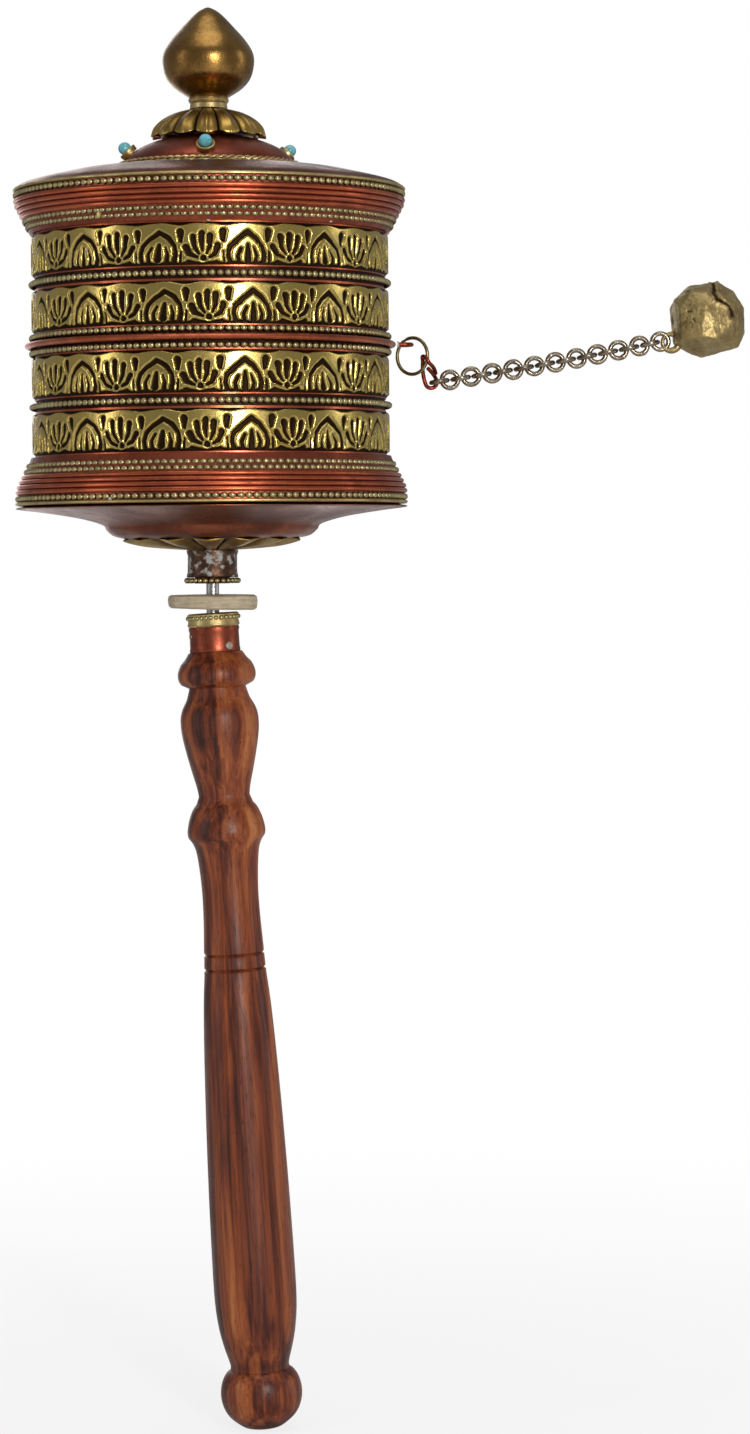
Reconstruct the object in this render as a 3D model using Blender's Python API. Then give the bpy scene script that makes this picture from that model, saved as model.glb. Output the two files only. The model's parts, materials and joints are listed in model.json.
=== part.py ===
"""Hand-held prayer wheel: a turned handle, a copper drum that spins on a steel spindle, and a weight on a chain.

The origin is the middle of the grip, on the handle's own axis. The handle leans a little from the drum's axis,
and the two axes meet at the top face of the brass collar. Heights on the drum are measured up from there.
"""

import math

import bmesh
import bpy
from mathutils import Matrix, Vector

MM = 0.001
FIT = 0.3 * MM                      # clearance left between two pieces that touch

# Driving sizes of the whole object
HANDLE_LEAN = math.radians(3.1)     # the bend of the spindle where it enters the handle
GRIP_DEPTH = 92.0 * MM              # from the collar's top down to the middle of the grip
SPINDLE_RADIUS = 1.2 * MM
SPINDLE_IN_HANDLE = 40.0 * MM

# Driving sizes of the drum
BODY_RADIUS = 32.5 * MM             # outside of the plain tube under the ornament
SHEET = 0.6 * MM                    # copper sheet of the tube and covers
RIM_RADIUS = 36.7 * MM
MID_HEIGHT = 49.9 * MM              # the wire round the middle of the drum
BAND_HEIGHT = 7.7 * MM
BAND_THICKNESS = 0.55 * MM
BEAD = 1.1 * MM                     # height of a beaded wire
BEAD_STANDS = 1.1 * MM
BEAD_GAP = 0.85 * MM                # bare strip each side of a beaded wire
MID_WIRE_HEIGHT = 1.2 * MM
MID_WIRE_STANDS = 1.9 * MM
MID_BEAD_GAP = 0.3 * MM
UPPER_FLARE = 8.8 * MM              # from the last band to the rim's edge
LOWER_FLARE = 9.2 * MM
RIM_EDGE = 2.6 * MM
COVER_RISE = 3.4 * MM               # slope of the upper cover, from rim to crown
CONE_DROP = 3.3 * MM                # slope of the lower cover, from rim to dish
DISH_RADIUS = 20.6 * MM
DISH_DEPTH = 2.8 * MM
CROWN_RADIUS = 16.0 * MM
CROWN_RISE = 6.1 * MM
CROWN_WIRE = 0.9 * MM
LOTUS_RADIUS = 10.7 * MM
LOTUS_RISE = 5.2 * MM
LOWER_LOTUS_RADIUS = 16.6 * MM
LOWER_LOTUS_DEPTH = 1.7 * MM
BUSH_WALL = 0.9 * MM
BUSH_LENGTH = 8.0 * MM
CORE_WALL = 0.6 * MM
FERRULE_WALL = 1.3 * MM
FERRULE_LENGTH = 4.6 * MM
FERRULE_RING = 1.1 * MM
STONE_RADIUS = 1.2 * MM
STONE_ANGLES = (-90.0, -172.0, 18.0, 92.0)
BEZEL_RADIUS = 1.75 * MM
BEZEL_STANDS = 0.4 * MM

# Driving sizes of the handle's furniture
WASHER_RADIUS = 8.7 * MM
WASHER_THICKNESS = 3.1 * MM
WASHER_LIFT = 0.4 * MM
COLLAR_HEIGHT = 2.6 * MM
COLLAR_RADIUS = 5.2 * MM
NECK_RADIUS = 4.8 * MM              # outside of the copper ferrule on the handle
HANDLE_FERRULE_LENGTH = 4.1 * MM
TENON_RADIUS = 3.7 * MM
FINIAL_RADIUS = 8.6 * MM
FINIAL_HEIGHT = 19.0 * MM
FINIAL_BORE_DEPTH = 8.0 * MM

# Driving sizes of the chain
RING_RADIUS = 3.4 * MM              # to the middle of its wire
RING_WIRE = 0.33 * MM
RING_REACH = 37.7 * MM              # from the drum's axis to the ring's middle
RING_DROP = 2.2 * MM                # from the eye down to the ring's middle
RING_TURN = math.radians(34.0)
EYE_WIRE = 0.4 * MM
EYE_RADIUS = 1.55 * MM
LINK_WIRE = 0.4 * MM
LINK_RADIUS = 1.475 * MM
LINK_PITCH = 2.0 * MM
LINK_COUNT = 22
CHAIN_START = Vector((42.7, 0.0, 42.9)) * MM
CHAIN_RISE_FIRST = 8.0
CHAIN_RISE_LAST = 11.5
LASHING_WIRE = 0.38 * MM
LASHING_HALF_WIDTH = 1.08 * MM
LASHING_SLACK = 0.8 * MM            # how far its upper turn stands off the ring's wire
LASHING_SECOND_STRAND = 0.95 * MM
LASHING_ON_RING = -35.0             # where on the ring the lashing hangs, in degrees
WEIGHT_SIZE = Vector((13.6, 13.4, 14.2)) * MM
WEIGHT_CHAMFER = 3.9 * MM
LUG_RADIUS = 1.55 * MM
LUG_WIRE = 0.4 * MM
LUG_RISE = -20.0                    # the last pull of the chain on the weight, in degrees
WEIGHT_RISE = 27.0                  # from the lug to the middle of the weight

DRUM_SIDES = 36
TURNED_SIDES = 24
SMALL_SIDES = 16


def clear_scene():
    for thing in list(bpy.data.objects):
        bpy.data.objects.remove(thing, do_unlink=True)


def material(name, color, roughness, metallic):
    """One Principled BSDF for each kind of surface."""
    made = bpy.data.materials.new(name)
    made.use_nodes = True
    shader = made.node_tree.nodes["Principled BSDF"]
    shader.inputs["Base Color"].default_value = (*color, 1.0)
    shader.inputs["Roughness"].default_value = roughness
    shader.inputs["Metallic"].default_value = metallic
    made.diffuse_color = (*color, 1.0)
    return made


FINISHES = {
    "rosewood": ((0.16, 0.055, 0.028), 0.42, 0.0),
    "copper": ((0.42, 0.13, 0.07), 0.38, 1.0),
    "dark_copper": ((0.06, 0.03, 0.018), 0.6, 1.0),
    "brass": ((0.55, 0.40, 0.13), 0.34, 1.0),
    "bead_brass": ((0.40, 0.35, 0.18), 0.42, 1.0),
    "bronze": ((0.30, 0.18, 0.06), 0.38, 1.0),
    "steel": ((0.55, 0.55, 0.54), 0.3, 1.0),
    "bone": ((0.50, 0.42, 0.28), 0.55, 0.0),
    "turquoise": ((0.16, 0.48, 0.58), 0.35, 0.0),
    "paper": ((0.62, 0.55, 0.40), 0.8, 0.0),
    "chain_brass": ((0.55, 0.47, 0.33), 0.36, 1.0),
    "cast_brass": ((0.33, 0.27, 0.13), 0.5, 1.0),
}


def finish_object(thing, finish, parent):
    """Gives a new object its own material and its parent, and shades it smooth between its sharp edges."""
    thing.data.materials.append(material(thing.name + "_finish", *FINISHES[finish]))
    thing.parent = parent
    if thing.type == "MESH":
        thing.data.shade_smooth()
        thing.data.set_sharp_from_angle(angle=math.radians(32.0))
    return thing


def new_empty(name, location, rotation=(0.0, 0.0, 0.0), parent=None):
    empty = bpy.data.objects.new(name, None)
    bpy.context.scene.collection.objects.link(empty)
    empty.location = location
    empty.rotation_euler = rotation
    empty.parent = parent
    return empty


def object_from_bmesh(name, bm):
    bmesh.ops.recalc_face_normals(bm, faces=bm.faces)
    mesh = bpy.data.meshes.new(name)
    bm.to_mesh(mesh)
    bm.free()
    made = bpy.data.objects.new(name, mesh)
    bpy.context.scene.collection.objects.link(made)
    return made


def turned(name, outline, finish, parent, sides, closed=True):
    """Spins an outline of (radius, height) points about Z. A closed outline makes a ring, and an open one
    starts and ends on the axis."""
    bm = bmesh.new()
    points = [bm.verts.new((radius, 0.0, height)) for radius, height in outline]
    pairs = list(zip(points, points[1:]))
    if closed:
        pairs.append((points[-1], points[0]))
    edges = [bm.edges.new(pair) for pair in pairs]
    bmesh.ops.spin(
        bm, geom=points + edges, cent=(0, 0, 0), axis=(0, 0, 1),
        angle=math.tau, steps=sides, use_merge=True,
    )
    bmesh.ops.remove_doubles(bm, verts=bm.verts, dist=1e-7)
    made = object_from_bmesh(name, bm)
    return finish_object(made, finish, parent)


def ring_outline(inner, outer, bottom, top):
    return [(outer, top), (outer, bottom), (inner, bottom), (inner, top)]


def smooth_through(points, steps):
    """A Catmull-Rom curve through (radius, height) points, with this many steps between two of them."""
    padded = [points[0], *points, points[-1]]
    curve = []
    for index in range(len(points) - 1):
        before, start, end, after = (Vector(p) for p in padded[index:index + 4])
        for step in range(steps):
            t = step / steps
            bend = (2 * start + (end - before) * t + (2 * before - 5 * start + 4 * end - after) * t ** 2
                    + (3 * start - before - 3 * end + after) * t ** 3)
            curve.append(tuple(bend / 2))
    curve.append(tuple(points[-1]))
    return curve


def wire(name, points, radius, finish, parent, rounds=2):
    """A round wire along a list of points, with flat ends."""
    curve = bpy.data.curves.new(name, "CURVE")
    curve.dimensions = "3D"
    curve.bevel_depth = radius
    curve.bevel_resolution = rounds
    curve.use_fill_caps = True
    spline = curve.splines.new("POLY")
    spline.points.add(len(points) - 1)
    for place, point in zip(spline.points, points):
        place.co = (*point, 1.0)
    made = bpy.data.objects.new(name, curve)
    bpy.context.scene.collection.objects.link(made)
    return finish_object(made, finish, parent)


def torus_mesh(name, ring_radius, wire_radius, around, section, centre=(0, 0, 0)):
    """A closed ring of round wire in its own XZ plane, about the given centre."""
    bm = bmesh.new()
    rows = []
    for step in range(around):
        turn = math.tau * step / around
        row = []
        for corner in range(section):
            tilt = math.tau * corner / section
            reach = ring_radius + wire_radius * math.cos(tilt)
            place = Vector((reach * math.cos(turn), wire_radius * math.sin(tilt), reach * math.sin(turn)))
            row.append(bm.verts.new(place + Vector(centre)))
        rows.append(row)
    for step in range(around):
        here, ahead = rows[step], rows[(step + 1) % around]
        for corner in range(section):
            after = (corner + 1) % section
            bm.faces.new((here[corner], here[after], ahead[after], ahead[corner]))
    bmesh.ops.recalc_face_normals(bm, faces=bm.faces)
    mesh = bpy.data.meshes.new(name)
    bm.to_mesh(mesh)
    bm.free()
    return mesh


# Heights on the drum, worked out from the driving sizes
first_band = MID_WIRE_HEIGHT / 2 + MID_BEAD_GAP + BEAD + MID_BEAD_GAP + BAND_HEIGHT / 2
BAND_PITCH = BAND_HEIGHT + BEAD + 2 * BEAD_GAP
BAND_OFFSETS = [first_band + BAND_PITCH, first_band, -first_band, -first_band - BAND_PITCH]
BEAD_OFFSETS = [
    first_band + BAND_PITCH / 2,
    MID_WIRE_HEIGHT / 2 + MID_BEAD_GAP + BEAD / 2,
    -(MID_WIRE_HEIGHT / 2 + MID_BEAD_GAP + BEAD / 2),
    -(first_band + BAND_PITCH / 2),
]
TUBE_HALF = first_band + BAND_PITCH + BAND_HEIGHT / 2
DRUM_TOP = MID_HEIGHT + TUBE_HALF + UPPER_FLARE
DRUM_BOTTOM = MID_HEIGHT - TUBE_HALF - LOWER_FLARE
SEAT_RADIUS = BODY_RADIUS + FIT                  # inside of every ring round the tube
CORE_INNER = SPINDLE_RADIUS + FIT + BUSH_WALL + FIT
CORE_OUTER = CORE_INNER + CORE_WALL
HUB_RADIUS = CORE_OUTER + FIT                    # holes that the core tube passes through
DISH_BOTTOM = DRUM_BOTTOM - FIT - CONE_DROP - DISH_DEPTH
LOWER_LOTUS_TOP = DISH_BOTTOM - FIT
FERRULE_TOP = LOWER_LOTUS_TOP - LOWER_LOTUS_DEPTH - FIT
FERRULE_BOTTOM = FERRULE_TOP - FERRULE_LENGTH
CORE_BOTTOM = FERRULE_BOTTOM - FIT - FERRULE_RING
CROWN_FOOT = DRUM_TOP + FIT + COVER_RISE + FIT
LOTUS_FOOT = CROWN_FOOT + CROWN_RISE * 0.86 + FIT
LOTUS_TOP = LOTUS_FOOT + LOTUS_RISE
FINIAL_FOOT = LOTUS_TOP + FIT


def make_handle(handle_axis):
    """The turned wooden handle, its copper ferrule and the brass collar that the washer rests on."""
    top = GRIP_DEPTH
    shoulder = top - COLLAR_HEIGHT - FIT - HANDLE_FERRULE_LENGTH - FIT
    # Each stretch is (radius, distance below the shoulder) in millimetres, and ends at a sharp corner
    stretches = [
        [(5.0, 0.0), (6.6, 2.1), (7.3, 4.3), (6.7, 5.9)],
        [(5.3, 6.6), (6.0, 8.9), (7.3, 12.0), (7.1, 16.0), (5.8, 22.3), (4.7, 26.9)],
        [(5.4, 28.6), (7.0, 31.8), (7.3, 34.2)],
        [(6.4, 35.7), (5.6, 39.1), (5.25, 45.8), (5.6, 54.0), (6.9, 77.0), (7.7, 108.0), (7.7, 121.0),
         (6.6, 129.0), (5.4, 133.4)],
        [(5.4, 134.1), (7.0, 135.8), (7.6, 138.4), (6.9, 141.4), (5.2, 143.6), (2.8, 145.1)],
    ]
    outline = [(TENON_RADIUS, top - FIT), (TENON_RADIUS, shoulder)]
    for stretch in stretches:
        outline += [(radius * MM, shoulder - depth * MM) for radius, depth in stretch]
    bore = SPINDLE_RADIUS + FIT
    bore_floor = top - SPINDLE_IN_HANDLE - FIT
    outline.append((0.0, outline[-1][1]))
    bore_wall = [(0.0, bore_floor), (bore, bore_floor), (bore, top - FIT)]
    turned("handle", bore_wall + outline, "rosewood", handle_axis, TURNED_SIDES, closed=False)
    ferrule = ring_outline(TENON_RADIUS + FIT, NECK_RADIUS, shoulder + FIT, top - COLLAR_HEIGHT - FIT)
    turned("handle_ferrule", ferrule, "copper", handle_axis, TURNED_SIDES)
    collar_bottom = top - COLLAR_HEIGHT
    collar = [
        (TENON_RADIUS + FIT, top), (COLLAR_RADIUS - 0.6 * MM, top), (COLLAR_RADIUS, top - 0.7 * MM),
        (COLLAR_RADIUS, collar_bottom + 0.6 * MM), (COLLAR_RADIUS - 0.5 * MM, collar_bottom),
        (TENON_RADIUS + FIT, collar_bottom),
    ]
    turned("handle_collar", collar, "bead_brass", handle_axis, TURNED_SIDES)


def make_spindle(handle_axis_matrix, drum_axis):
    """One steel rod, bent where it leaves the handle, that carries the washer, the drum and the finial."""
    to_drum = drum_axis.matrix_world.inverted() @ handle_axis_matrix
    foot = to_drum @ Vector((0.0, 0.0, GRIP_DEPTH - SPINDLE_IN_HANDLE))
    top = FINIAL_FOOT + FINIAL_BORE_DEPTH - FIT
    wire("spindle", [foot, Vector((0, 0, 0)), Vector((0, 0, top))], SPINDLE_RADIUS, "steel", drum_axis)


def make_finial(drum_axis):
    """A hollow-footed bulb of bronze on the spindle's end: collar, round shoulder and a drawn-up point."""
    bulb = [
        (0.40, 0.07), (0.56, 0.12), (0.82, 0.22), (0.96, 0.34), (1.00, 0.48), (0.94, 0.58), (0.73, 0.71),
        (0.50, 0.83), (0.30, 0.93), (0.06, 0.995),
    ]
    outer = smooth_through([(r * FINIAL_RADIUS, h * FINIAL_HEIGHT) for r, h in bulb], 2)
    collar = [(0.43 * FINIAL_RADIUS, 0.0), (0.43 * FINIAL_RADIUS, 0.055 * FINIAL_HEIGHT)]
    bore = SPINDLE_RADIUS + FIT
    outline = [(0.0, FINIAL_BORE_DEPTH), (bore, FINIAL_BORE_DEPTH), (bore, 0.0), *collar, *outer]
    outline.append((0.0, FINIAL_HEIGHT))
    outline = [(radius, height + FINIAL_FOOT) for radius, height in outline]
    turned("finial", outline, "bronze", drum_axis, TURNED_SIDES, closed=False)


def make_washer(drum_axis):
    """A loose hand-cut washer that the drum turns on."""
    bottom, top = WASHER_LIFT, WASHER_LIFT + WASHER_THICKNESS
    edge = 0.35 * MM
    outline = [
        (SPINDLE_RADIUS + FIT, top), (WASHER_RADIUS - edge, top), (WASHER_RADIUS, top - edge),
        (WASHER_RADIUS, bottom + edge), (WASHER_RADIUS - edge, bottom), (SPINDLE_RADIUS + FIT, bottom),
    ]
    turned("thrust_washer", outline, "bone", drum_axis, TURNED_SIDES)


def make_drum_wall(drum_axis):
    """The tube, the four ornament bands, the beaded wires and the wire round the middle."""
    tube = ring_outline(BODY_RADIUS - SHEET, BODY_RADIUS, DRUM_BOTTOM + 1.0 * MM, DRUM_TOP - 1.0 * MM)
    turned("drum_shell", tube, "dark_copper", drum_axis, DRUM_SIDES)
    for number, offset in enumerate(BAND_OFFSETS, 1):
        middle = MID_HEIGHT + offset
        band = ring_outline(SEAT_RADIUS, SEAT_RADIUS + BAND_THICKNESS, middle - BAND_HEIGHT / 2,
                            middle + BAND_HEIGHT / 2)
        turned(f"band_{number}", band, "brass", drum_axis, DRUM_SIDES)
    for number, offset in enumerate(BEAD_OFFSETS, 1):
        middle = MID_HEIGHT + offset
        row = ring_outline(SEAT_RADIUS, SEAT_RADIUS + BEAD_STANDS, middle - BEAD / 2, middle + BEAD / 2)
        turned(f"bead_wire_{number}", row, "bead_brass", drum_axis, DRUM_SIDES)
    half = MID_WIRE_HEIGHT / 2
    crest = SEAT_RADIUS + MID_WIRE_STANDS
    mid = [
        (SEAT_RADIUS, MID_HEIGHT + half), (crest - half, MID_HEIGHT + half), (crest, MID_HEIGHT + half / 3),
        (crest, MID_HEIGHT - half / 3), (crest - half, MID_HEIGHT - half), (SEAT_RADIUS, MID_HEIGHT - half),
    ]
    turned("mid_wire", mid, "copper", drum_axis, DRUM_SIDES)


def flare_outline(side, flare):
    """The flared sheet between the last band and the rim. Side is 1 at the top of the drum and -1 below."""
    foot = TUBE_HALF + FIT
    edge = TUBE_HALF + flare
    wall = 0.8 * MM
    outline = [
        (SEAT_RADIUS + wall, foot), (RIM_RADIUS - 0.4 * MM, edge - RIM_EDGE - 0.8 * MM),
        (RIM_RADIUS, edge - RIM_EDGE), (RIM_RADIUS, edge - 0.4 * MM), (RIM_RADIUS - 0.4 * MM, edge),
        (RIM_RADIUS - wall - 0.2 * MM, edge), (RIM_RADIUS - wall - 0.2 * MM, edge - RIM_EDGE),
        (SEAT_RADIUS, foot + 1.2 * MM), (SEAT_RADIUS, foot),
    ]
    return [(radius, MID_HEIGHT + side * height) for radius, height in outline]


def make_ends(drum_axis):
    """The flares and the two sheet covers that close the drum."""
    turned("top_flare", flare_outline(1, UPPER_FLARE), "copper", drum_axis, DRUM_SIDES)
    turned("bottom_flare", flare_outline(-1, LOWER_FLARE), "copper", drum_axis, DRUM_SIDES)
    edge = RIM_RADIUS - 0.3 * MM
    seat = DRUM_TOP + FIT
    shares = [(0.0, 0.0), (0.09, 0.22), (0.31, 0.46), (0.58, 0.72), (0.95, 1.0)]
    slope = [(edge + (CROWN_RADIUS - edge) * out, seat + COVER_RISE * up) for out, up in shares]
    slope.append((HUB_RADIUS, seat + COVER_RISE))
    under = [(radius, height - SHEET) for radius, height in reversed(slope[2:])]
    turned("top_cover", slope + under + [(edge - 2.2 * MM, seat)], "copper", drum_axis, DRUM_SIDES)
    seat = DRUM_BOTTOM - FIT
    cone = [(edge, 0.0), (edge, 0.2), (0.88 * edge, 0.37), (0.69 * edge, 0.7), (DISH_RADIUS, 1.0)]
    lower = [(radius, seat - CONE_DROP * drop) for radius, drop in cone]
    dish = [(DISH_RADIUS - 0.9 * MM, 0.4), (DISH_RADIUS - 2.3 * MM, 0.8), (DISH_RADIUS - 4.9 * MM, 1.0),
            (HUB_RADIUS, 1.0)]
    lower += [(radius, seat - CONE_DROP - DISH_DEPTH * drop) for radius, drop in dish]
    upper = [(radius - 0.2 * MM, height + SHEET) for radius, height in reversed(lower[2:-1])]
    outline = lower + [(HUB_RADIUS, DISH_BOTTOM + SHEET)] + upper
    turned("bottom_cover", outline, "copper", drum_axis, DRUM_SIDES)


def crown_outline():
    """The dome on the upper cover, from its foot up to the core tube."""
    shares = [(1.0, 0.0), (1.0, 0.10), (0.95, 0.32), (0.80, 0.60), (0.62, 0.80), (0.40, 0.95)]
    return [(CROWN_RADIUS * out, CROWN_FOOT + CROWN_RISE * up) for out, up in shares] + [
        (HUB_RADIUS, CROWN_FOOT + CROWN_RISE)
    ]


def stone_seat(angle):
    """Where a stone's bezel stands on the dome, and which way it faces."""
    around = Vector((math.cos(angle), math.sin(angle), 0.0))
    place = around * (CROWN_RADIUS * 0.92) + Vector((0, 0, CROWN_FOOT + CROWN_RISE * 0.36))
    facing = (around * 0.62 + Vector((0, 0, 0.78))).normalized()
    return place, facing


def make_crown(drum_axis):
    """Dome with four bezels, its twisted foot wire, four stones and the petalled cap."""
    outer = crown_outline()
    wall = 0.7 * MM
    inner = [(radius - wall, height) for radius, height in outer[:1]]
    inner += [(radius - wall, height - wall * 0.7) for radius, height in outer[2:-1]]
    inner.append((HUB_RADIUS, outer[-1][1] - wall))
    dome = turned("crown_dome", outer + list(reversed(inner)), "copper", drum_axis, DRUM_SIDES)
    bosses = bmesh.new()
    for angle in STONE_ANGLES:
        place, facing = stone_seat(math.radians(angle))
        length = BEZEL_STANDS + 0.45 * MM
        turn = facing.to_track_quat("Z", "X").to_matrix().to_4x4()
        middle = Matrix.Translation(place + facing * (BEZEL_STANDS - length / 2)) @ turn
        bmesh.ops.create_cone(
            bosses, cap_ends=True, segments=12, radius1=BEZEL_RADIUS, radius2=BEZEL_RADIUS, depth=length,
            matrix=middle,
        )
    boss = object_from_bmesh("bezel_bosses", bosses)
    boss.parent = drum_axis
    boss.hide_render = True
    boss.display_type = "WIRE"
    join = dome.modifiers.new("bezels", "BOOLEAN")
    join.operation = "UNION"
    join.solver = "EXACT"
    join.object = boss
    for number, angle in enumerate(STONE_ANGLES, 1):
        place, facing = stone_seat(math.radians(angle))
        bm = bmesh.new()
        bmesh.ops.create_icosphere(bm, subdivisions=2, radius=STONE_RADIUS)
        stone = object_from_bmesh(f"turquoise_{number}", bm)
        stone.location = place + facing * (BEZEL_STANDS + 0.1 * MM + STONE_RADIUS)
        finish_object(stone, "turquoise", drum_axis)
    radius = CROWN_RADIUS + FIT + CROWN_WIRE / 2
    middle = CROWN_FOOT + CROWN_WIRE / 2
    corners = [math.tau * (corner + 0.5) / 6 for corner in range(6)]
    section = [(radius - CROWN_WIRE / 2 * math.cos(a), middle + CROWN_WIRE / 2 * math.sin(a)) for a in corners]
    turned("crown_wire", section, "bead_brass", drum_axis, DRUM_SIDES)
    cap = [(1.0, 0.0), (0.98, 0.22), (0.88, 0.50), (0.74, 0.72), (0.56, 0.92), (0.42, 1.0)]
    hood = [(LOTUS_RADIUS * out, LOTUS_FOOT + LOTUS_RISE * up) for out, up in cap]
    hood.append((HUB_RADIUS, LOTUS_TOP))
    lining = [(LOTUS_RADIUS - wall, LOTUS_FOOT)]
    lining += [(radius - wall * 0.8, height - wall * 0.8) for radius, height in hood[1:-2]]
    lining.append((HUB_RADIUS, LOTUS_TOP - wall))
    turned("top_lotus", hood + list(reversed(lining)), "brass", drum_axis, TURNED_SIDES)


def make_axle(drum_axis):
    """Core tube with a bush at each end, the rolled prayer paper on it, and the ferrule under the drum."""
    turned("core_tube", ring_outline(CORE_INNER, CORE_OUTER, CORE_BOTTOM, LOTUS_TOP), "copper", drum_axis,
           SMALL_SIDES)
    bush_bore = SPINDLE_RADIUS + FIT
    bush_outer = bush_bore + BUSH_WALL
    ends = {"bottom_bush": CORE_BOTTOM, "top_bush": LOTUS_TOP - BUSH_LENGTH}
    for name, foot in ends.items():
        turned(name, ring_outline(bush_bore, bush_outer, foot, foot + BUSH_LENGTH), "brass", drum_axis,
               SMALL_SIDES)
    roll = ring_outline(HUB_RADIUS, BODY_RADIUS - SHEET - FIT, DRUM_BOTTOM + 1.4 * MM, DRUM_TOP - 1.4 * MM)
    turned("mantra_roll", roll, "paper", drum_axis, DRUM_SIDES)
    bowl = [(1.0, 0.0), (1.0, 0.15), (0.72, 0.72), (0.33, 1.0)]
    lotus = [(LOWER_LOTUS_RADIUS * out, LOWER_LOTUS_TOP - LOWER_LOTUS_DEPTH * down) for out, down in bowl]
    lotus += [(HUB_RADIUS, LOWER_LOTUS_TOP - LOWER_LOTUS_DEPTH), (HUB_RADIUS, LOWER_LOTUS_TOP)]
    turned("bottom_lotus", lotus, "brass", drum_axis, DRUM_SIDES)
    ferrule = ring_outline(HUB_RADIUS, HUB_RADIUS + FERRULE_WALL, FERRULE_BOTTOM, FERRULE_TOP)
    turned("axle_ferrule", ferrule, "dark_copper", drum_axis, TURNED_SIDES)
    bead = ring_outline(HUB_RADIUS, HUB_RADIUS + FERRULE_WALL + 0.45 * MM, CORE_BOTTOM, FERRULE_BOTTOM - FIT)
    turned("ferrule_bead_ring", bead, "bead_brass", drum_axis, TURNED_SIDES)


def ring_point(angle):
    """A point on the middle line of the split ring, and the direction of its wire there."""
    across = Vector((math.cos(RING_TURN), -math.sin(RING_TURN), 0.0))
    up = Vector((0.0, 0.0, 1.0))
    middle = Vector((RING_REACH, 0.0, MID_HEIGHT - RING_DROP))
    place = middle + RING_RADIUS * (across * math.cos(angle) + up * math.sin(angle))
    along = (up * math.cos(angle) - across * math.sin(angle)).normalized()
    return place, along


def rise_direction(degrees):
    rise = math.radians(degrees)
    return Vector((math.cos(rise), 0.0, math.sin(rise)))


def make_eye_and_ring(drum_axis):
    """The staple soldered to the middle wire, and the ring that hangs in it."""
    eye_angle = math.pi - math.asin(RING_DROP / RING_RADIUS)
    through, _ = ring_point(eye_angle)
    crest = SEAT_RADIUS + MID_WIRE_STANDS
    foot = crest + EYE_WIRE
    bend = foot + 0.95 * MM
    staple = [Vector((foot, through.y - EYE_RADIUS, MID_HEIGHT))]
    for step in range(9):
        turn = -math.pi / 2 + math.pi * step / 8
        staple.append(Vector((bend + EYE_RADIUS * math.cos(turn), through.y + EYE_RADIUS * math.sin(turn),
                              MID_HEIGHT)))
    staple.append(Vector((foot, through.y + EYE_RADIUS, MID_HEIGHT)))
    wire("chain_eye", staple, EYE_WIRE, "copper", drum_axis, rounds=1)
    centre = Vector((RING_REACH, 0.0, MID_HEIGHT - RING_DROP))
    flat = Matrix.Rotation(-RING_TURN, 3, "Z")
    offset = flat.inverted() @ (centre - through)
    ring = bpy.data.objects.new(
        "split_ring", torus_mesh("split_ring", RING_RADIUS, RING_WIRE, 24, 6, offset)
    )
    bpy.context.scene.collection.objects.link(ring)
    ring.location = through
    ring.rotation_euler = (0.0, 0.0, -RING_TURN)
    finish_object(ring, "bead_brass", drum_axis)


def lashing_path(top, bottom, ring_wire):
    """One and a half turns of wire: through the ring above and the first link below, twisted in between."""
    along = (bottom - top).normalized()
    spread_top = along.cross(ring_wire).normalized()
    spread_bottom = along.cross(Vector((0, 1, 0))).normalized()
    twist = spread_top.angle(spread_bottom)
    if along.dot(spread_top.cross(spread_bottom)) < 0:
        twist = -twist
    length = (bottom - top).length

    def place(share, spread, beyond, aside):
        turn = Matrix.Rotation(twist * min(max(share, 0.0), 1.0), 3, along)
        across = turn @ spread_top
        outwards = along.cross(across)
        return top + along * (share * length + beyond) + across * spread + outwards * aside

    half = LASHING_HALF_WIDTH
    aside = -LASHING_SECOND_STRAND
    path = [place(share, half, 0.0, aside) for share in (0.72, 0.54, 0.36, 0.18, 0.0)]
    for step in range(1, 7):
        turn = math.pi * step / 7
        fade = 0.5 + 0.5 * math.cos(turn)
        path.append(place(0.0, half * math.cos(turn), -half * math.sin(turn), aside * fade))
    path += [place(share, -half, 0.0, 0.0) for share in (0.0, 0.2, 0.4, 0.6, 0.8, 1.0)]
    for step in range(1, 7):
        turn = math.pi * step / 7
        path.append(place(1.0, -half * math.cos(turn), half * math.sin(turn), 0.0))
    path += [place(share, half, 0.0, 0.0) for share in (1.0, 0.8, 0.6, 0.4, 0.22)]
    return path


def make_lashing(drum_axis):
    """The copper wire that ties the chain to the ring."""
    on_ring, ring_wire = ring_point(math.radians(LASHING_ON_RING))
    bottom = CHAIN_START - rise_direction(CHAIN_RISE_FIRST) * LINK_RADIUS
    top = on_ring - (bottom - on_ring).normalized() * LASHING_SLACK
    joint = new_empty("lashing_pivot", on_ring, parent=drum_axis)
    path = [point - on_ring for point in lashing_path(top, bottom, ring_wire)]
    wire("lashing", path, LASHING_WIRE, "copper", joint)


def make_chain(drum_axis):
    """The links, each a closed ring of wire turned a quarter turn from the one before, and the weight."""
    face_on = torus_mesh("link_face_on", LINK_RADIUS, LINK_WIRE, 12, 6, (LINK_PITCH / 2, 0, 0))
    pivot = CHAIN_START - rise_direction(CHAIN_RISE_FIRST) * LINK_PITCH / 2
    for number in range(1, LINK_COUNT + 1):
        share = (number - 1) / (LINK_COUNT - 1)
        rise = CHAIN_RISE_FIRST + (CHAIN_RISE_LAST - CHAIN_RISE_FIRST) * share
        link = bpy.data.objects.new(f"link_{number:02d}", face_on.copy())
        bpy.context.scene.collection.objects.link(link)
        link.location = pivot
        roll = math.pi / 2 if number % 2 else 0.0
        link.rotation_euler = (roll, -math.radians(rise), 0.0)
        finish_object(link, "chain_brass", drum_axis)
        pivot = pivot + rise_direction(rise) * LINK_PITCH
    make_weight(drum_axis, pivot)


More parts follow.
